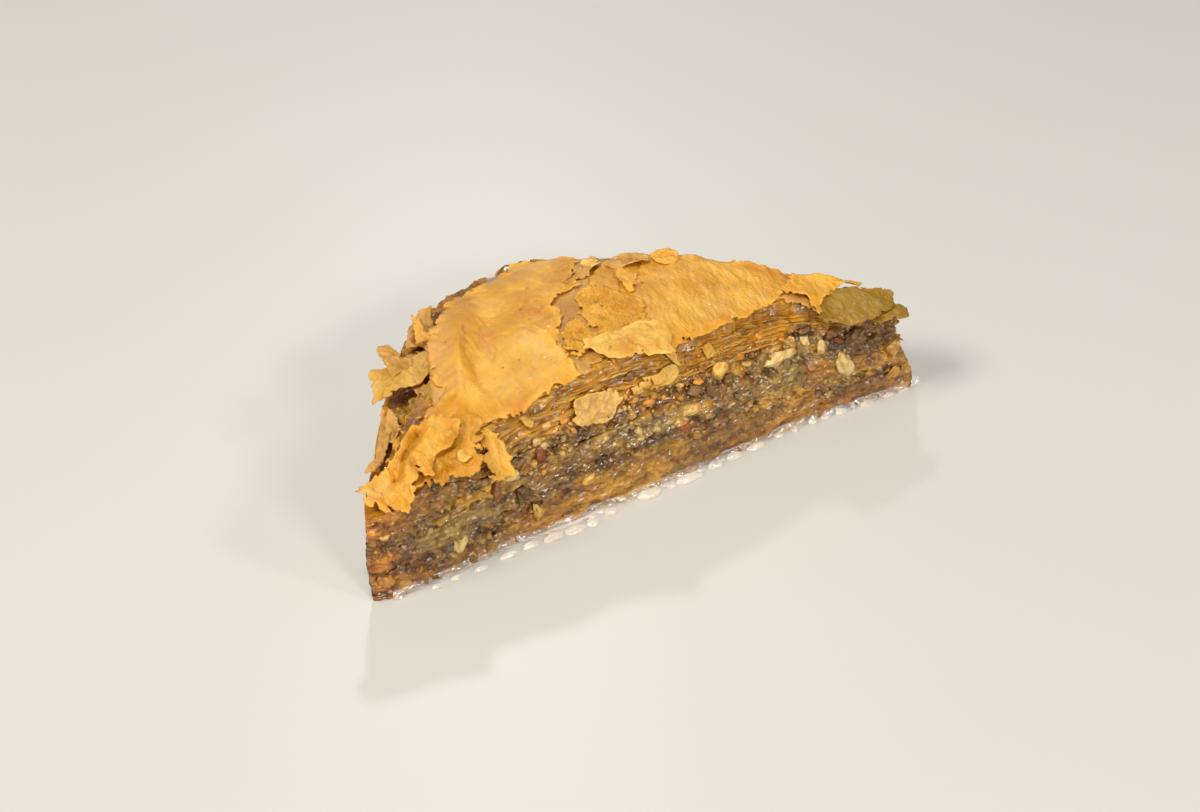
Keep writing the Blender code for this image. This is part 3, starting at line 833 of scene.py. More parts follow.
def torn_leaf(name, outline, lies, wrinkles, base, curl=0.6, step=0.3, ragged=0.5, seed=0.0, upright=False, hugs=0.25):
    """A leaf cut from a fine grid to a torn outline, laid at the height that lies() gives.

    An upright leaf lies against the cut, with its outline drawn along and up it."""
    lowest = np.min(outline, axis=0) - 1.5
    highest = np.max(outline, axis=0) + 1.5
    count = np.ceil((highest - lowest) / step).astype(int)
    solo()
    bpy.ops.mesh.primitive_grid_add(x_subdivisions=int(count[0]), y_subdivisions=int(count[1]), size=1.0)
    piece = bpy.context.object
    piece.name = name
    plan = (points_of(piece)[:, :2] + 0.5) * (highest - lowest) + lowest
    inside = inside_by(plan, outline)
    x, y = plan.T
    tears = np.clip(1.0 - 5.0 * abs(rough(x / 2.6, y / 2.6, seed + 4.0)), 0.0, 1.0) * smooth(0.4 + 2.0 * rough(x / 6.0, y / 6.0, seed + 5.0))
    uneven = 0.8 * rough(x / 2.3, y / 2.3, seed) + 0.5 * rough(x / 0.9, y / 0.9, seed + 1.0) - 2.4 * tears
    inside += ragged * uneven * (inside < 4.0)
    field = inside.reshape(-1, count[0] + 1)
    slope_y, slope_x = np.gradient(field, (highest[1] - lowest[1]) / count[1], (highest[0] - lowest[0]) / count[0])
    steep = np.maximum(slope_x ** 2 + slope_y ** 2, 0.25)
    slide = np.where(field < 0.75 * step, -field, 0.0)
    slide = np.clip(slide, -0.75 * step, 0.75 * step)
    x = x + (slide * slope_x / steep).ravel()
    y = y + (slide * slope_y / steep).ravel()
    depth = np.maximum(0.0, inside)
    lift = curl * (1.0 - smooth(depth / 2.4)) * smooth(0.45 + 1.4 * rough(x / 5.0, y / 5.0, seed + 2.0))
    hug = hugs * (1.0 - smooth(depth / 1.3)) * (1.0 - smooth(lift / 0.4))
    height = lies(x, y) + wrinkles(x, y) * (0.4 + 0.6 * smooth(depth / 1.5)) + lift - hug
    points = to_model(x, front(x, y) - height, y) if upright else to_model(x, y, height)
    move_points(piece, points)
    paint(piece, crust_tone(x, y, depth, lift, base, seed))
    piece.data.polygons.foreach_set("select", [False] * len(piece.data.polygons))
    piece.data.edges.foreach_set("select", [False] * len(piece.data.edges))
    piece.data.vertices.foreach_set("select", inside < -0.5 * step)
    bpy.ops.object.mode_set(mode="EDIT")
    bpy.ops.mesh.select_mode(type="VERT")
    bpy.ops.mesh.delete(type="VERT")
    bpy.ops.mesh.select_all(action="SELECT")
    bpy.ops.mesh.normals_make_consistent(inside=False)
    bpy.ops.object.mode_set(mode="OBJECT")
    wall = piece.modifiers.new("thickness", "SOLIDIFY")
    wall.thickness = LEAF_THICKNESS * MM
    wall.offset = 0.0
    bpy.ops.object.modifier_apply(modifier=wall.name)
    return piece


def over_crust(height):
    """Lies on the dome, this far above its top."""
    return lambda x, y: crust_top(x, y) + height


def baked_finish(name, run, streaks, pits, roughness):
    """Crisp baked filo: buttery streaks along the leaf, fine scorch, a satin skin."""
    made, shader, place = new_finish(name)
    tone = place.node("ShaderNodeAttribute", {"attribute_name": "tone"})
    drawn = place.grain(1.7, 4.0, 0.62, (1.0, 0.2, 1.0), run)
    mottle = place.grain(2.6, 5.0, 0.62)
    fine = place.grain(0.5, 2.0, 0.6)
    light = 0.84 + (drawn - 0.5) * 0.5 * streaks + mottle * 0.36 + (fine - 0.5) * (0.12 + 0.6 * pits)
    grey = place.node("ShaderNodeCombineColor", None, {0: light, 1: light, 2: light})
    scorch = (1.0 - mottle).between(0.52, 0.74) * 0.35 + (1.0 - drawn).between(0.5, 0.72) * streaks * 0.7 + (1.0 - fine).between(0.56, 0.72) * pits
    body = tone.mixed(grey, 1.0, "MULTIPLY").mixed((*BAKED["amber"], 1.0), scorch)
    body = body.mixed((*BAKED["cream"], 1.0), drawn.between(0.58, 0.76) * streaks * 0.6 + fine.between(0.62, 0.8) * 0.3)
    join(body, shader, "Base Color")
    join(roughness + mottle.between(0.35, 0.7) * 0.2, shader, "Roughness")
    height = drawn * 0.8 + mottle * 0.8 + fine * (0.3 + pits)
    join(height.bump(1.0, 0.45), shader, "Normal")
    shader.inputs["Coat Weight"].default_value = 0.05
    shader.inputs["Coat Roughness"].default_value = 0.2
    shader.inputs["Specular IOR Level"].default_value = 0.45
    shader.inputs["Specular Tint"].default_value = (1.0, 0.9, 0.7, 1.0)
    shader.inputs["Subsurface Weight"].default_value = 0.3
    shader.inputs["Subsurface Radius"].default_value = (1.0, 0.6, 0.2)
    shader.inputs["Subsurface Scale"].default_value = 0.0012
    return made


baked_smooth = baked_finish("baked_leaf_smooth", -0.35, 0.25, 0.0, 0.28)
baked_streaky = baked_finish("baked_leaf_streaky", -0.42, 0.9, 0.05, 0.28)
baked_bubbly = baked_finish("baked_leaf_bubbly", 0.0, 0.10, 0.75, 0.35)

left_outline = (
    (19, 15.3), (22.5, 16.2), (25.5, 17.6), (28.3, 19.3), (26.3, 20.5), (26.8, 23), (28, 26.5), (30, 31),
    (31.8, 35), (34, 38.8), (37, 41.2), (40, 44.6), (42.3, 47.5), (43.5, 50), (47, 50.5), (52, 51.5),
    (57, 54.3), (60, 56), (61.8, 57), (61.5, 54.2), (64.2, 60.5), (66.2, 62.7), (68.3, 62), (70, 59.5),
    (72.5, 56.5), (74.2, 55), (73.8, 52), (75.8, 50), (74, 46.8), (72.8, 44.8), (70, 42), (68.5, 39.8),
    (66, 37.5), (68, 35.5), (67.8, 33), (64.5, 33.3), (60, 32), (57.2, 29.3), (58.6, 27.4), (57.5, 24),
    (54.5, 21.3), (52.3, 17.2), (52.8, 15.5), (51.6, 12), (50.8, 9), (51, 6.8), (47, 5.7), (44, 5.3),
    (41, 6), (38, 5), (36, 4.3), (33, 4.6), (31, 6), (28, 6.2), (26.6, 7), (26.2, 9), (24.5, 10.8),
    (22, 11.2), (20.5, 13),
)
under_outline = (
    (12, 8), (17, 12), (20, 14.5), (25, 20), (28, 27), (32, 36), (38, 42.5), (44, 50), (52, 52), (58, 53.5),
    (64, 58), (71, 55), (77, 47), (84, 41), (92, 36), (98, 29.5), (104, 24), (108, 18.5), (114, 13),
    (122, 6), (124, 2), (116, 3), (108, 5.5), (101, 9.5), (92, 8.4), (80, 7.6), (70, 6.2), (60, 6.8), (48, 7.0),
    (38, 5.6), (31, 5.6), (26, 6), (19, 6), (14, 7),
)
right_outline = (
    (70, 14), (68, 17), (67, 22), (67, 28), (70, 35.5), (72, 38), (76, 39.5), (78, 41.5), (82, 41), (85, 38.5),
    (86, 36.5), (89, 38), (91.5, 37.5), (93, 34.5), (96.5, 31), (100, 27.5), (103.5, 24.5), (106.5, 20.5),
    (108, 18.2), (111, 16.3), (113, 14.5), (110, 12.5), (106, 11), (102, 11), (100, 9.5), (96, 8.5),
    (91, 7.5), (88, 7.3), (83, 6.4), (78, 6), (75, 5.3), (71.5, 5), (70, 8),
)
blister_outline = (
    (64.8, 31.3), (68, 32), (70.5, 31), (72, 28), (73.5, 24), (74, 20), (73, 17), (71, 14.5), (66, 12.5),
    (60, 12), (56, 12), (53.5, 11), (51.3, 11.5), (51.8, 14), (52.3, 16.5), (54, 19), (55.5, 21.8),
    (58.7, 22.5), (59.6, 20.5), (60.3, 17.8), (60.8, 21), (60.5, 23.5), (62, 26), (63.5, 29.3),
)
front_outline = (
    (54.8, 12.2), (55.6, 13.8), (58, 14.3), (63, 14.2), (67, 13.6), (70, 13.8), (72.5, 13), (73, 9),
    (71.6, 6), (71, 3.5), (69.5, 2.6), (67.5, 3.6), (65, 5), (62, 6), (60, 6.5), (58, 7.6), (56.2, 9.2),
)
petal_outline = (
    (73.3, 25), (74.2, 24.4), (76, 26), (78, 28.5), (80, 32), (79.5, 34.5), (77, 34.8), (75, 32.5), (73.8, 29.5),
)
lobe_outline = (
    (0.8, 0), (0.9, 2.5), (1, 5), (2.5, 6), (4.5, 6.4), (7, 5.8), (8.2, 6.6), (10.5, 8), (13.5, 10.3),
    (16.5, 12.3), (19, 13), (21.5, 12.3), (23.5, 9.8), (24.6, 7.5), (24, 5.5), (22, 4.2), (20, 3.2),
    (18, 3.5), (16.3, 2.6), (15.2, 1.2), (15.1, -0.6), (14.3, -0.9), (13.2, 0.4), (12.6, 2.2), (11.8, 0.8),
    (10.5, -1), (9.5, -2), (8.4, -2.3), (8.2, -3.4), (7.4, -4.1), (6.2, -3.4), (4.8, -2.8), (3.3, -2), (2, -1),
)
amber_outline = (
    (11, 4), (10.5, 0), (12, -0.6), (14, -1.6), (17, -1.8), (20, -2.6), (22.5, -3), (24.5, -1.5), (26, 1),
    (28, 5), (29.5, 7.5), (27, 11), (24, 12.5), (20, 12), (14, 9),
)
chip_outline = ((20, 0.5), (21.2, 2.7), (22.5, 2.5), (22.9, 0.2), (21, -0.3))
strip_outline = (
    (27.2, 7), (30.0, 7.2), (30.9, 3.5), (31.4, 0.6), (31.2, -2.2), (28.6, -2.6), (26, -2.0), (25.6, 1), (26.6, 3.5),
)
golden_right_outline = (
    (102.5, 11.2), (105, 13), (107.5, 15.5), (110, 16.3), (113, 15.5), (115, 14), (119, 12.5), (121.5, 12),
    (123.3, 10.4), (121.5, 9.2), (119, 9.2), (115, 8.7), (111, 7.2), (108.5, 5.5), (106.8, 3.2),
    (105.8, 2.5), (106, 5), (106.6, 7.5), (104.5, 9.3),
)
olive_outline = (
    (105.5, 3), (107, 0.3), (109, -0.5), (111, -1.3), (113.2, -1.9), (115.5, -1.5), (118, -1), (119.5, -0.6),
    (122, 0.3), (124.5, 1), (126, 3), (128, 5.6), (126, 6.8), (123.5, 8), (121, 9), (118, 10), (112, 9.5),
    (108, 7.5),
)
right_corner_outline = (
    (117, 1), (119, -1.5), (122, -2.2), (125, -2.4), (127.5, -0.5), (128.8, 1.8), (127, 4), (124, 5), (119, 4),
)
tan_flake_outline = (
    (65.5, 37), (67.5, 38.2), (69.5, 41), (70.5, 42.3), (73.2, 44.2), (75, 43.2), (73.5, 41.5), (73, 39),
    (71, 36.4), (68, 36.2),
)
standing_outline = (
    (69.5, 40.5), (71, 42), (74, 44.5), (78, 47.3), (78.6, 46), (77, 43.2), (76, 41), (75, 39.3), (72, 38.5),
)
back_lobe_outline = (
    (76, 38), (78, 40.5), (80.5, 41.6), (83, 41.3), (85.5, 39.5), (86.5, 37), (84.5, 34.8), (80.5, 35.3), (77, 36.3),
)
next_lobe_outline = (
    (86, 34), (86.4, 37.2), (89, 38.5), (91.5, 37.6), (92, 35), (91, 32.5), (89, 31.2), (86.5, 32),
)
tongue_outline = (
    (34, 37.5), (30.5, 37.3), (26.5, 37.4), (24, 37.2), (22, 38.2), (20, 37.6), (19, 36.3), (18, 33),
    (17, 30), (15.2, 27.6), (18.5, 28.2), (21.5, 28.5), (25.5, 28), (28.5, 29), (31.5, 31), (33.5, 33.5),
)
curl_outline = ((22.6, 33), (23, 37), (23.4, 40), (24, 42.5), (24.8, 44), (26.8, 44), (27.6, 41.5), (27.6, 38.5), (28, 33.5))
spike_outline = ((32, 40.5), (33, 43.5), (34.6, 47), (36.6, 52), (36.6, 48.5), (36.6, 45), (36, 42), (35, 40))


def over_front(x, y):
    """The pale leaf at the front arches clear of the crust and folds once."""
    return crust_top(x, y) + 0.6 + 0.6 * bell((y - 10.6) / 0.9) * smooth((64.0 - x) / 6.0)


def droop(lift, edge, fall):
    """Lies on the crust, and bends down by fall over the last millimetres past the edge."""
    return lambda x, y: crust_top(x, np.maximum(y, 0.0)) + lift - fall * smooth((edge - y) / 5.0) ** 1.5


def folded(x, y):
    """The front corner's leaf: a deep valley along it, and a rim that rolls up."""
    across = (y - 7.4) * 0.73 - (x - 14.0) * 0.68
    lengthways = (x - 14.0) * 0.73 + (y - 7.4) * 0.68
    bent = across + 0.8 * np.sin(lengthways / 2.2)
    valley = -1.8 * bell((bent - 0.9) / 1.2) * smooth((lengthways + 9.0) / 4.0)
    rolled = 0.8 * bell((bent - 3.6) / 1.2) + 0.8 * bell((bent + 1.6) / 1.6)
    return (valley + rolled) * smooth((lengthways + 11.0) / 5.0) + 1.1 * crumpled(x, y)


def pleated(x, y):
    """A strip folded once along its length."""
    return 0.5 * bell((x - 28.4 + 0.1 * y) / 0.9) + 0.35 * rough(x / 0.9, y / 6.0, 85.0) + 0.4 * crumpled(x, y)


def hanging(x, y):
    return 24.4 + 0.1 * (y - 6.0) - 5.4 * smooth((4.5 - y) / 6.5)


def level_leaf(height, slope_x, slope_y, x_at, y_at):
    return lambda x, y: height + slope_x * (x - x_at) + slope_y * (y - y_at)


crust_leaves = (
    ("under_leaf", under_outline, over_crust(-0.28), rippled, "tan", 0.2, 0.5, 0.9, baked_streaky),
    ("left_leaf", left_outline, over_crust(0.08), satin, "gold", 0.6, 0.3, 0.45, baked_smooth),
    ("right_leaf", right_outline, over_crust(0.1), rippled, "gold", 0.5, 0.3, 0.55, baked_streaky),
    ("blistered_leaf", blister_outline, over_crust(0.3), blistered, "gold", 0.3, 0.25, 0.7, baked_bubbly),
    ("front_leaf", front_outline, over_front, crumpled, "pale", 0.6, 0.2, 0.5, baked_smooth),
    ("petal_leaf", petal_outline, over_crust(0.5), satin, "gold", 0.9, 0.25, 0.3, baked_smooth),
    # the amber leaf's deep orange is partly its own colour and partly painted shade for the hollow it lies in
    ("amber_leaf", amber_outline, droop(0.2, 1.0, 1.2), crumpled, "orange_in_shade", 0.5, 0.25, 0.9, baked_smooth),
    ("lobe_leaf", lobe_outline, droop(1.3, 1.0, 1.5), folded, "gold", 0.6, 0.2, 0.55, baked_smooth),
    ("chip_leaf", chip_outline, droop(1.0, 1.0, 1.0), crumpled, "pale", 0.3, 0.2, 0.2, baked_smooth),
    ("strip_leaf", strip_outline, hanging, pleated, "gold", 0.3, 0.2, 0.7, baked_smooth),
    ("golden_leaf", golden_right_outline, over_crust(0.7), rippled, "gold", 0.7, 0.3, 0.4, baked_streaky),
    ("olive_leaf", olive_outline, over_crust(0.1), crumpled, "olive", 0.5, 0.25, 0.35, baked_smooth),
    ("right_corner_leaf", right_corner_outline, over_crust(-0.9), crumpled, "olive", 0.6, 0.25, 0.4, baked_smooth),
    ("tan_leaf", tan_flake_outline, over_crust(0.4), crumpled, "tan", 0.5, 0.25, 0.5, baked_smooth),
    ("standing_leaf", standing_outline, over_crust(0.5), crumpled, "pale", 0.9, 0.25, 0.5, baked_smooth),
    ("back_lobe_leaf", back_lobe_outline, over_crust(0.5), crumpled, "tan", 0.7, 0.25, 0.4, baked_smooth),
    ("next_lobe_leaf", next_lobe_outline, over_crust(0.5), crumpled, "gold", 0.7, 0.25, 0.4, baked_smooth),
    ("tongue_leaf", tongue_outline, level_leaf(23.2, 0.06, 0.0, 26.0, 33.0), crumpled, "khaki", 0.6, 0.25, 0.35, baked_streaky),
    ("curl_leaf", curl_outline, level_leaf(23.3, 0.0, -0.04, 25.0, 40.0), crumpled, "tan", 0.9, 0.25, 0.3, baked_bubbly),
    ("spike_leaf", spike_outline, level_leaf(23.6, 0.0, -0.02, 34.0, 44.0), crumpled, "gold", 0.6, 0.25, 0.3, baked_smooth),
)
for number, (name, outline, lies, wrinkles, base_tone, curl, step, ragged, material) in enumerate(crust_leaves):
    leaf = torn_leaf(name, outline, lies, wrinkles, base_tone, curl, step, ragged, 100.0 + 7.0 * number)
    finish_piece(leaf, material, "baked_crust", "top_pastry")


# ---- Leaves on the ledge ----
# Broken ends of the crust that have dropped on to the soft step along the left side,
# brown and see-through where syrup has soaked them, pinkish tan where they are dry.
def on_ledge(lift, slope_x=0.0, slope_y=0.0):
    """Just above the soft top, smoothed over its lumps and tilted."""
    return lambda x, y: np.minimum(under_crust(x, y), 21.4) + 0.5 + lift + slope_x * (x - 25.0) + slope_y * (y - 25.0)


ledge_leaves = (
    ("outer_leaf_low", ((5, 9.5), (9, 14), (13, 20), (16.5, 26), (18.5, 29), (19.5, 26), (15.5, 19.5), (11, 13), (7, 8.6)), 0.3, "tan", baked_streaky),
    ("outer_leaf_next", ((9, 9), (13, 13.5), (17.5, 21), (20.5, 27), (22.5, 25), (19.5, 18), (15.5, 12), (11, 7.6)), 0.0, "amber", baked_smooth),
    ("ledge_leaf_tan", ((13, 14), (14.5, 20), (18, 26), (19, 25), (17.6, 20), (16, 16)), 0.9, "tan", baked_smooth),
    ("ledge_chip", ((15.7, 15.8), (17.2, 15.5), (19, 14), (18.4, 12.8), (16.3, 13.8)), 1.1, "peach", baked_smooth),
    ("ledge_leaf_brown", ((18.5, 27), (26, 27), (26, 21), (23, 18), (19, 17.5), (18, 22)), 0.3, "olive", baked_smooth),
    ("ledge_leaf_folded", ((24.4, 25.5), (25.6, 30), (27.5, 29), (26.6, 22), (25.4, 19.3), (24, 21)), 1.6, "tan", baked_smooth),
    ("ledge_leaf_small", ((20.5, 17), (22.8, 21.5), (26, 20), (23.2, 16)), 1.2, "pale", baked_smooth),
    ("ledge_leaf_high", ((27, 36), (30, 42), (35.5, 41.5), (34, 37), (30, 33)), 0.8, "tan", baked_bubbly),
    ("ledge_leaf_back", ((31, 44), (36, 52), (40, 55.5), (43, 55), (40, 48), (35, 42)), 0.7, "tan", baked_streaky),
    ("ledge_leaf_far", ((40, 49), (44, 53), (50, 55.5), (53, 54.5), (48, 50), (43, 46)), -0.3, "tan", baked_streaky),
)
for number, (name, outline, lift, base_tone, material) in enumerate(ledge_leaves):
    leaf = torn_leaf(name, outline, on_ledge(lift), crumpled, base_tone, 0.9, 0.25, 0.35, 300.0 + 7.0 * number)
    finish_piece(leaf, material, "baked_crust", "top_pastry")


# ---- Sheet ends in the cut ----
# Single sheets that came apart from the stack as it was cut: stiff and bright near
# the top, where the syrup has dried on them, limp and see-through lower down.
def sheet_ends(name, ends, wall, step=0.4):
    """Many narrow leaves as one piece; each is four rows of one grid, parted afterwards.

    An end is its start, its finish, its height up the wall, how far it stands out, its tone and a seed."""
    longest = max(finish - start for start, finish, *_ in ends)
    count = math.ceil(longest / step)
    solo()
    bpy.ops.mesh.primitive_grid_add(x_subdivisions=count, y_subdivisions=4 * len(ends) - 1, size=1.0)
    piece = bpy.context.object
    piece.name = name
    flat = points_of(piece)
    share = flat[:, 0] + 0.5
    row = np.rint((flat[:, 1] + 0.5) * (4 * len(ends) - 1)).astype(int)
    start, finish, level, out, seed = (np.array([end[i] for end in ends])[row // 4] for i in (0, 1, 2, 3, 5))
    own = np.array([WET.get(end[4], BAKED.get(end[4])) for end in ends])[row // 4]
    x = start + share * (finish - start)
    taper = smooth((x - start) / 2.5) * smooth((finish - x) / 2.5)
    deep = (row % 4) / 3.0
    reach = out * taper * (0.45 + 0.9 * rough(x / 3.0, seed, 3.0) + 0.35 * rough(x / 1.0, seed, 4.0))
    points = wall(x, level, reach * (1.0 - deep) - 1.6 * deep, deep, seed)
    move_points(piece, points)
    tone = blend_tone(own, BAKED["cream"], 0.5 * smooth(0.3 + 1.6 * rough(x / 3.0, seed, 7.0)) * (1.0 - deep))
    # painted shade: darker towards the root of each end, where it goes into the wall
    paint(piece, blend_tone(tone, BAKED["deep"], 0.8 * deep))
    piece.data.vertices.foreach_set("select", [False] * len(flat))
    piece.data.edges.foreach_set("select", [False] * len(piece.data.edges))
    low_rows = [min(row[k] for k in face.vertices) for face in piece.data.polygons]
    piece.data.polygons.foreach_set("select", [low % 4 == 3 for low in low_rows])
    bpy.ops.object.mode_set(mode="EDIT")
    bpy.ops.mesh.select_mode(type="FACE")
    bpy.ops.mesh.delete(type="FACE")
    bpy.ops.mesh.select_all(action="SELECT")
    bpy.ops.mesh.normals_make_consistent(inside=False)
    bpy.ops.object.mode_set(mode="OBJECT")
    body = piece.modifiers.new("thickness", "SOLIDIFY")
    body.thickness = 0.16 * MM
    body.offset = 0.0
    bpy.ops.object.modifier_apply(modifier=body.name)
    return piece


def top_cut_wall(x, level, out, deep, seed):
    """Up the open part of the cut, from the upper walnuts to the crust, fanned with the sheets."""
    low = between_stations(UPPER_NUT_TOP, x)
    z = low + (face_top(x) - low) * level + 0.3 * rough(x / 5.0, seed, 1.0) + 0.12 * rough(x / 1.8, seed, 2.0)
    return to_model(x, front(x, z) - np.maximum(out, -1.6), z + 0.25 * (1.0 - deep) * rough(x / 2.5, seed, 5.0))


def side_wall(x, level, out, deep, seed):
    """Round the two short sides."""
    z = 3.4 + 16.6 * level + 0.4 * rough(x / 5.0, seed, 1.0) + 0.12 * rough(x / 1.8, seed, 2.0)
    return to_model(x, back(x, z) + out, z)


chance = np.random.default_rng(11)
tones = ("amber", "honey", "orange", "straw", "gold", "amber", "brown")
ends = []
for number in range(46):
    level = (number % 10 + 0.6) / 10.5 + chance.uniform(-0.02, 0.02)
    middle = chance.triangular(30.0, 84.0, 108.0)
    half = chance.uniform(3.0, 9.5)
    start, finish = max(24.0, middle - half), min(112.0, middle + half)
    ends.append((start, finish, level, chance.uniform(0.35, 1.1), tones[chance.integers(7)], 3.1 * number))
finish_piece(sheet_ends("sheet_ends", ends, top_cut_wall), baked_smooth, "syrup_pastry", "top_pastry")
ends = []
for number in range(60):
    middle, half = chance.uniform(8.0, 124.0), chance.uniform(3.0, 8.0)
    start, finish = max(4.0, middle - half), min(128.0, middle + half)
    ends.append((start, finish, chance.uniform(0.0, 1.0), chance.uniform(0.3, 0.8), tones[chance.integers(7)], 3.1 * number))
finish_piece(sheet_ends("side_sheet_ends", ends, side_wall), baked_smooth, "syrup_pastry", "top_pastry")


# ---- Walnut in the cut ----
# Chips of kernel that the knife has left standing in the cut: cream inside, and
# red-brown or purple-black where they keep their skin. Soaked, and held by syrup.
KERNEL = {
    "bright": (colour("f4c96c"), colour("e0a340")),
    "cream": (colour("e8cb88"), colour("c49a50")),
    "gold": (colour("dcae58"), colour("b07a2c")),
    "honey": (colour("c08c3a"), colour("8e5c22")),
    "red": (colour("8c3a14"), colour("5c2410")),
    "plum": (colour("6e4730"), colour("442818")),
    "black": (colour("4a2e1c"), colour("2a180e")),
}


def broken_bits(name, bits, wall, subdivisions, facets, soak=0.0):
    """Many broken bits as one piece: balls made lumpy, chipped flat in places, and set in a wall.

    A bit is its place along and up the wall, how far out, its half sizes, its turn and its
    tone, of which soak is taken over by the tone of the cut."""
    solo()
    bpy.ops.mesh.primitive_ico_sphere_add(subdivisions=subdivisions, radius=1.0)
    piece = bpy.context.object
    piece.name = name
    ball = points_of(piece)
    copies = piece.modifiers.new("copies", "ARRAY")
    copies.count = len(bits)
    copies.use_relative_offset = False
    copies.use_constant_offset = True
    copies.constant_offset_displace = (3.0, 0.0, 0.0)
    bpy.ops.object.modifier_apply(modifier=copies.name)
    chips = np.random.default_rng(len(bits))
    wet = cut_tone(np.array([bit[0] for bit in bits]), np.array([bit[1] for bit in bits]))
    points, tones = [], []
    for number, (x, z, out, (half_x, half_y, half_z), turn, kind) in enumerate(bits):
        a, b, c = ball.T
        size = 1.0 + 0.35 * rough(a * 1.3 + 5.0 * number, b * 1.3, c * 1.3)
        shape = ball * size[:, None]
        for _ in range(facets):
            way = chips.normal(size=3)
            way /= np.linalg.norm(way)
            past = np.maximum(0.0, shape @ way - chips.uniform(0.45, 0.85))
            shape = shape - past[:, None] * way
        a, b, c = shape.T
        pits = 1.0 + 0.14 * rough(a * 3.5 + number, b * 3.5, c * 3.5) + 0.07 * rough(a * 8.0, b * 8.0 + number, c * 8.0)
        along, deep, up = a * half_x * pits, b * half_y * pits, c * half_z * pits
        dx = along * math.cos(turn) - up * math.sin(turn)
        dz = along * math.sin(turn) + up * math.cos(turn)
        points.append(wall(x, z, out, dx, deep, dz))
        face, skin = KERNEL[kind]
        tone = blend_tone(face, skin, smooth(0.3 + 1.5 * rough(a * 1.5, b * 1.5 + number, c * 1.5)))
        held = 0.45 if kind in ("plum", "black") else 0.0
        tones.append(blend_tone(tone, wet[number], max(soak, held) + 0.0 * a))
    move_points(piece, np.concatenate(points))
    paint(piece, np.concatenate(tones))
    return piece


def in_cut(x, z, out, dx, deep, dz):
    return to_model(x + dx, front(x, z) - relief(x, z) - out + deep, z + dz)


def kernel_finish(name, roughness, coat):
    """Walnut: a waxy kernel under a film of syrup, mottled and finely wrinkled."""
    made, shader, place = new_finish(name)
    tone = place.node("ShaderNodeAttribute", {"attribute_name": "tone"})
    broad = place.grain(1.2, 3.0, 0.6)
    fine = place.grain(0.4, 2.0, 0.6)
    light = 0.62 + broad * 0.4 + fine * 0.35
    grey = place.node("ShaderNodeCombineColor", None, {0: light, 1: light, 2: light})
    join(tone.mixed(grey, 1.0, "MULTIPLY"), shader, "Base Color")
    join(roughness + fine * 0.25, shader, "Roughness")
    join((broad * 0.6 + fine * 0.5).bump(0.8, 0.3), shader, "Normal")
    shader.inputs["Coat Weight"].default_value = coat
    shader.inputs["Coat Roughness"].default_value = 0.08
    shader.inputs["Specular Tint"].default_value = (1.0, 0.9, 0.7, 1.0)
    shader.inputs["Subsurface Weight"].default_value = 0.15
    shader.inputs["Subsurface Radius"].default_value = (1.0, 0.7, 0.4)
    shader.inputs["Subsurface Scale"].default_value = 0.001
    return made


# place along and up the cut, how far out, half sizes, turn, tone
WALNUT_CHIPS = [
    (18.6, 6.1, 0.0, (1.7, 1.1, 2.0), 0.2, "cream"), (61.0, 14.2, 0.0, (0.9, 0.8, 1.7), 0.1, "cream"),
    (82.8, 19.3, 1.0, (2.0, 1.4, 2.5), 0.6, "bright"), (96.8, 17.2, -0.1, (4.2, 1.5, 2.2), 0.15, "cream"),
    (104.6, 18.2, 0.0, (0.9, 0.9, 1.9), 0.35, "cream"), (107.6, 16.8, 0.0, (1.0, 1.0, 2.1), 0.2, "cream"),
    (112.6, 11.9, 0.5, (1.9, 1.4, 3.2), 0.45, "cream"), (125.0, 12.2, 0.2, (1.9, 1.3, 2.4), 0.7, "gold"),
    (101.2, 8.9, -0.1, (2.4, 1.1, 1.2), -0.5, "honey"), (48.2, 8.6, 0.0, (2.2, 1.1, 1.2), 0.2, "gold"),
    (36.8, 5.0, -0.1, (1.2, 0.8, 2.6), 0.3, "gold"), (74.5, 14.5, -0.3, (3.0, 1.0, 1.1), 0.1, "gold"),
    (6.3, 2.2, -0.1, (1.4, 0.9, 1.0), 0.0, "honey"), (31.5, 14.8, -0.2, (2.2, 1.0, 1.3), 0.2, "cream"),
    (38.7, 16.4, 0.5, (1.2, 1.0, 2.1), 0.1, "red"), (27.6, 14.2, 0.4, (1.2, 1.0, 2.1), 0.2, "red"),
    (35.4, 6.2, 0.1, (0.6, 0.6, 2.0), 0.25, "red"), (71.4, 11.9, 0.1, (1.3, 0.9, 1.2), 0.0, "red"),
    (25.8, 15.7, 0.1, (1.1, 0.8, 0.9), 0.5, "plum"), (2.4, 4.4, -0.2, (1.6, 1.0, 1.7), 0.0, "honey"),
    (126.0, 5.2, -0.2, (1.9, 0.9, 1.7), 0.1, "honey"),
    (33.4, 11.4, 0.2, (2.0, 1.0, 1.2), -0.6, "plum"), (32.2, 10.6, 0.3, (0.8, 0.9, 1.6), 0.2, "black"),
    (75.3, 17.4, 0.3, (1.8, 1.1, 1.4), 0.2, "plum"), (79.4, 16.6, 0.3, (1.6, 1.1, 1.5), -0.3, "plum"),
    (84.5, 17.2, 0.1, (1.6, 1.0, 1.3), 0.4, "plum"), (104.8, 20.6, 0.2, (1.7, 1.0, 1.0), 0.3, "plum"),
    (8.6, 6.0, -0.1, (2.2, 1.0, 1.5), 0.3, "plum"), (49.0, 13.4, -0.1, (2.5, 1.0, 1.1), 0.0, "plum"),
    (115.5, 17.5, 0.0, (2.5, 1.2, 1.5), 0.1, "black"), (120.5, 16.2, 0.0, (2.7, 1.2, 1.1), -0.1, "plum"),
    (110.5, 19.2, 0.0, (1.9, 1.0, 1.2), 0.2, "black"), (61.5, 24.9, 0.1, (1.3, 0.9, 0.9), 0.5, "plum"),
    (98.3, 15.4, -0.1, (1.4, 0.9, 1.9), -0.3, "plum"), (13.0, 7.3, -0.1, (1.7, 0.9, 1.0), 0.0, "plum"),
    ]
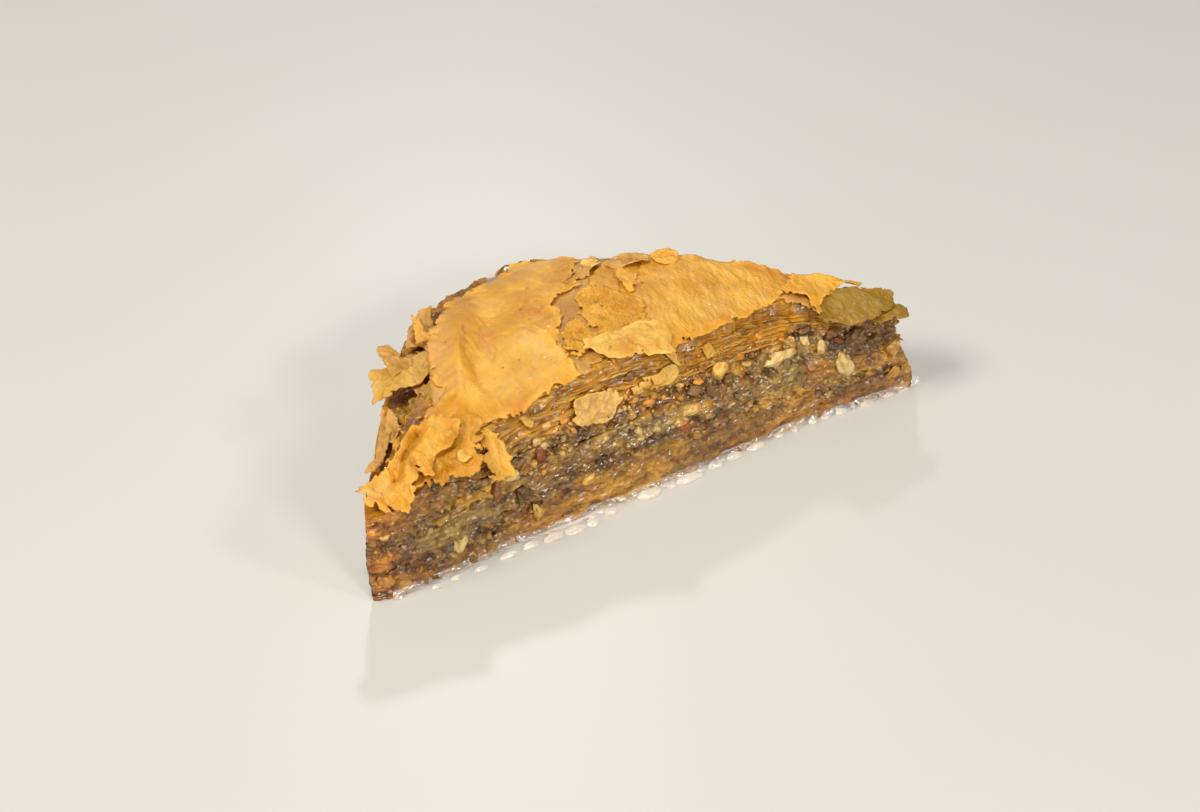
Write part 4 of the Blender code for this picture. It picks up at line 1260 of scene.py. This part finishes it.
walnut = kernel_finish("soaked_walnut_kernel", 0.20, 0.25)
finish_piece(broken_bits("walnut_chips", WALNUT_CHIPS, in_cut, 4, 5, 0.15), walnut, "walnut_filling")
SMALL_KINDS = ("cream", "gold", "gold", "honey", "honey", "plum", "plum", "red")
small_chips = []
for number in range(130):
    x = chance.uniform(2.0, 129.0)
    low, high = ((BASE_TOP, LOWER_NUT_TOP), (MIDDLE_TOP, UPPER_NUT_TOP))[number % 3 > 0]
    z = between_stations(low, x) + chance.uniform(-0.35, 1.35) * (between_stations(high, x) - between_stations(low, x))
    size = chance.uniform(0.35, 0.95)
    half_sizes = (size * chance.uniform(1.0, 1.7), size, size * chance.uniform(0.7, 1.0))
    kind = SMALL_KINDS[chance.integers(8)]
    small_chips.append((x, max(z, 1.6), -0.45 * size, half_sizes, chance.uniform(-0.7, 0.7), kind))
finish_piece(broken_bits("small_walnut_chips", small_chips, in_cut, 3, 4, 0.5), walnut, "walnut_filling")


# ---- The loose leaves ----
# Two flakes of crust that fell as the piece was cut and stuck to its wet face, with
# two smaller ones beside them and a shred that hangs from the leaf above.
def against_cut(out, lean=0.0):
    return lambda x, z: out + lean * (z - 21.0) + 0.0 * x


large_outline = (
    (47.1, 23.8), (47.9, 24.6), (50.8, 24.9), (53.8, 24.8), (56.8, 24.3), (57.8, 23.5), (58.8, 22.2),
    (58.5, 21.1), (57.6, 20.3), (56.6, 19.3), (55.4, 18.9), (53.4, 18.7), (51.6, 19.1), (49.6, 19.3),
    (47.9, 20.1), (45.8, 20.8), (46.3, 21.5), (47.8, 21.9),
)
small_outline = (
    (60.8, 21.2), (61.5, 22), (61.1, 22.8), (62.8, 23.3), (64.1, 24), (67.3, 23.9), (69.6, 24.4), (71.3, 24.9),
    (72.3, 24.2), (72.6, 23.3), (71.6, 22), (69.6, 21.3), (66.3, 21.1), (64.3, 21.4), (62.8, 21.5),
)
right_chip_outline = ((79.6, 25.4), (80.8, 25.8), (81.6, 25), (82.2, 23.6), (81.3, 22.6), (79.9, 22.9))
left_chip_outline = ((35.8, 24.8), (37.4, 25), (38.9, 23.2), (38, 22.5), (36.4, 23.6))
shred_outline = ((69.4, 28.8), (71.2, 29.2), (72.4, 26.2), (73.2, 23.6), (71.9, 24.4), (70.4, 26.8))
loose_leaves = (
    ("large_loose_leaf", large_outline, 1.0, "dry", "loose_leaf_large"),
    ("small_loose_leaf", small_outline, 1.0, "pale", "loose_leaf_small"),
    ("loose_chip_right", right_chip_outline, 0.9, "pale", None),
    ("loose_chip_left", left_chip_outline, 0.9, "pale", None),
    ("hanging_shred", shred_outline, 1.0, "pale", None),
)
loose_finish = baked_finish("loose_leaf", 0.4, 0.12, 0.3, 0.25)
for number, (name, outline, out, base_tone, node) in enumerate(loose_leaves):
    seed = 400.0 + 9.0 * number
    leaf = torn_leaf(name, outline, against_cut(out), crumpled, base_tone, 0.3, 0.16, 0.3, seed, upright=True)
    finish_piece(leaf, loose_finish, "baked_crust", *([node] if node else []))


# ---- Crumbs ----
# Toasted bits of nut and crust, at their true size, that lie on the cut and stick
# to its syrup: a few large orange and cream ones, and a scatter of small ones.
KERNEL["toast"] = (colour("dd9430"), colour("b87420"))
KERNEL["pale_toast"] = (colour("e4bc72"), colour("c48a3a"))
KERNEL["dark_toast"] = (colour("a0662a"), colour("643c16"))
LARGE_CRUMBS = [
    (41.5, 21.4, 0.2, (1.5, 0.8, 0.8), -0.1, "pale_toast"), (45.2, 21.4, 0.2, (1.2, 0.8, 0.7), 0.1, "toast"),
    (64.8, 18.9, 0.2, (1.4, 0.9, 0.9), 0.2, "toast"), (61.8, 19.8, 0.2, (0.9, 0.7, 0.7), 0.6, "toast"),
    (72.2, 20.0, 0.2, (1.0, 0.7, 0.5), 0.0, "pale_toast"), (76.6, 19.2, 0.2, (1.3, 0.8, 0.8), -0.3, "toast"),
    (88.3, 19.9, 0.2, (1.1, 0.7, 1.0), 0.4, "toast"), (91.4, 19.4, 0.2, (1.1, 0.7, 0.9), -0.3, "dark_toast"),
    (93.6, 22.3, 0.2, (1.3, 0.8, 0.8), -0.5, "toast"), (101.4, 19.4, 0.2, (0.7, 0.6, 1.4), 0.2, "pale_toast"),
    (99.0, 20.3, 0.2, (0.9, 0.5, 0.6), -0.7, "toast"), (38.4, 13.9, 0.2, (0.7, 0.6, 0.5), 0.0, "toast"),
    (47.2, 18.6, 0.2, (0.5, 0.5, 0.8), 0.2, "toast"), (57.6, 19.4, 0.2, (0.6, 0.5, 0.5), 0.0, "pale_toast"),
    (68.0, 18.8, 0.2, (0.6, 0.5, 0.5), 0.0, "toast"), (59.8, 21.2, 0.2, (0.8, 0.6, 0.6), 0.3, "toast"),
]
small_crumbs = []
for _ in range(240):
    x, z = chance.triangular(32.0, 66.0, 106.0), chance.triangular(16.0, 20.0, 26.5)
    size = chance.uniform(0.15, 0.42)
    half_sizes = (size * chance.uniform(0.8, 1.6), size, size * chance.uniform(0.7, 1.2))
    kind = ("pale_toast", "toast", "toast", "dark_toast")[chance.integers(4)]
    small_crumbs.append((x, z, 0.3 * size, half_sizes, chance.uniform(-1.5, 1.5), kind))


def on_crust(x, y, out, dx, deep, dz):
    return to_model(x + dx, y + deep, crust_top(x, y) + 0.3 + out + dz)


crust_crumbs = []
for _ in range(40):
    x, y = chance.uniform(30.0, 104.0), chance.uniform(7.0, 40.0)
    size = chance.uniform(0.12, 0.26)
    kind = ("pale_toast", "toast", "toast")[chance.integers(3)]
    crust_crumbs.append((x, min(y, 0.8 * back(x, 24.0)), 0.0, (size, size, 0.7 * size), 0.0, kind))
toasted = kernel_finish("toasted_crumb", 0.32, 0.2)
finish_piece(broken_bits("large_crumbs", LARGE_CRUMBS, in_cut, 3, 4), toasted, "baked_crust")
finish_piece(broken_bits("small_crumbs", small_crumbs, in_cut, 1, 3), toasted, "baked_crust")
finish_piece(broken_bits("crust_crumbs", crust_crumbs, on_crust, 2, 3), toasted, "baked_crust")


# ---- Syrup ----
# Thin clear syrup that has run out at the foot of the cut and lies on the table
# in a narrow film, gathered into round beads along its edge.
def clear_syrup(name, cover):
    """A clear film: a bright white skin, most of which lets what lies beneath it through; the white, opaquer at grazing
    angles, and a faint glow paint the reflections of wet syrup.
    """
    made, shader, place = new_finish(name)
    join(place.blended(colour("ffffff"), colour("fbeccb"), place.grain(3.0)), shader, "Base Color")
    join(0.05 + place.grain(4.0) * 0.06, shader, "Roughness")
    gleam = place.node("ShaderNodeFresnel", None, {"IOR": 1.4})
    join(cover + place.grain(2.0).between(0.5, 0.75) * 0.25 + gleam * 0.6, shader, "Alpha")
    join(place.grain(1.6, 2.0).bump(0.8, 0.8), shader, "Normal")
    shader.inputs["Metallic"].default_value = 0.55
    # painted glow: the syrup gives off a little light of its own
    shader.inputs["Emission Color"].default_value = (1.0, 0.97, 0.9, 1.0)
    shader.inputs["Emission Strength"].default_value = 0.18
    return made


film_edge = []
for x in range(3, 134):
    pool = 0.7 + 2.0 * bell((x - 43.0) / 8.0) + 1.2 * bell((x - 72.0) / 12.0) + 0.5 * bell((x - 118.0) / 14.0)
    film_edge.append((x, front(x, 0.0) - pool - 0.6 * rough(x / 2.5, 2.0, 5.0)))
film_outline = film_edge + [(133.0, 1.6), (120.0, 3.0), (60.0, 2.0), (3.0, 0.0)]


def film_level(x, y):
    """A thin sheet with a rounded rim, drawn up where it meets the cut."""
    clear = front(x, 0.0) - y
    within = y - np.interp(x, [place[0] for place in film_edge], [place[1] for place in film_edge])
    rounded = 0.6 * np.sqrt(np.clip(within / 0.8, 0.0, 1.0)) - 0.25 * smooth((within - 0.7) / 0.8)
    return 0.12 + rounded + 0.8 * (1.0 - smooth(clear / 0.7)) + 0.15 * rough(x / 1.2, y / 0.8, 3.0)


film = torn_leaf("syrup_film", film_outline, film_level, lambda x, y: 0.0 * x, "pale", 0.0, 0.3, 0.6, 900.0, hugs=0.0)
finish_piece(film, clear_syrup("syrup_film", 0.10), "syrup")
BEADS = (
    (61.5, -1.6, 2.7, 1.3, 1.1), (71.5, -1.4, 3.2, 1.2, 0.9), (66.8, -1.9, 0.9, 0.7, 0.7),
    (78.5, -0.6, 1.6, 1.1, 1.0), (83.5, -0.2, 1.8, 1.0, 0.9), (89.0, 0.2, 2.2, 0.9, 0.8),
    (95.6, 0.8, 1.0, 0.7, 0.7), (99.5, 1.0, 0.9, 1.2, 0.8), (104.6, 1.0, 0.9, 0.8, 0.8),
    (107.8, 0.8, 1.0, 0.8, 0.8), (112.0, 0.6, 1.4, 0.8, 0.8), (118.5, 0.2, 1.5, 0.8, 0.7),
    (124.5, 0.0, 1.2, 0.7, 0.7), (128.4, 0.0, 1.4, 0.8, 0.7), (52.0, -2.2, 1.2, 1.0, 0.8),
    (47.0, -3.2, 1.2, 1.2, 0.7), (43.0, -3.4, 2.4, 1.1, 0.8), (38.0, -3.2, 2.0, 1.0, 0.8),
    (33.0, -2.9, 1.6, 0.9, 0.8), (28.0, -3.2, 2.0, 0.7, 0.7), (21.5, -3.8, 1.4, 0.7, 0.6),
    (16.0, -3.6, 1.0, 0.6, 0.5), (12.0, -3.8, 1.3, 0.6, 0.5),
)
solo()
bpy.ops.mesh.primitive_uv_sphere_add(segments=32, ring_count=16, radius=1.0)
beads = bpy.context.object
beads.name = "syrup_beads"
ball = points_of(beads)
copies = beads.modifiers.new("copies", "ARRAY")
copies.count = len(BEADS)
copies.use_relative_offset = False
copies.use_constant_offset = True
copies.constant_offset_displace = (3.0, 0.0, 0.0)
bpy.ops.object.modifier_apply(modifier=copies.name)
points = []
for number, (x, y, half_x, half_y, high) in enumerate(BEADS):
    a, b, c = ball.T
    wobble = 1.0 + 0.18 * rough(a * 1.4 + number, b * 1.4, 2.0)
    points.append(to_model(x + a * half_x * wobble, y + b * half_y * wobble, 0.12 + (np.maximum(c, -0.12) + 0.12) * high))
move_points(beads, np.concatenate(points))
finish_piece(beads, clear_syrup("syrup_bead", 0.16), "syrup")

# drops and threads of syrup that stand on the wet cut and catch the light; their pale, less clear skin and faint glow
# also paint white glints on the cut
drops = []
for number in range(240):
    x = chance.triangular(6.0, 66.0, 128.0)
    bands = ((BASE_TOP, 0.55, 1.1), (LOWER_NUT_TOP, 0.85, 1.25), (MIDDLE_TOP, 0.8, 1.1), (UPPER_NUT_TOP, 0.8, 1.15))
    values, low, high = bands[(0, 1, 1, 2, 2, 3)[number % 6]]
    size = chance.uniform(0.25, 0.75)
    half_sizes = (size, 0.16, chance.uniform(0.09, 0.16))
    z = between_stations(values, x) * chance.uniform(low, high)
    drops.append((x, max(z, 0.8), 0.06, half_sizes, chance.uniform(-0.35, 0.6), "cream"))
clear_drop = clear_syrup("syrup_drop", 0.30)
finish_piece(broken_bits("syrup_drops", drops, in_cut, 1, 0), clear_drop, "syrup")
crust_drops = []
for _ in range(18):
    x, y = chance.triangular(30.0, 52.0, 104.0), chance.triangular(5.5, 7.0, 24.0)
    size = chance.uniform(0.12, 0.22)
    crust_drops.append((x, min(y, 0.8 * back(x, 24.0)), 0.1, (size, size, 0.6 * size), 0.0, "cream"))
finish_piece(broken_bits("crust_drops", crust_drops, on_crust, 2, 0), clear_drop, "syrup")
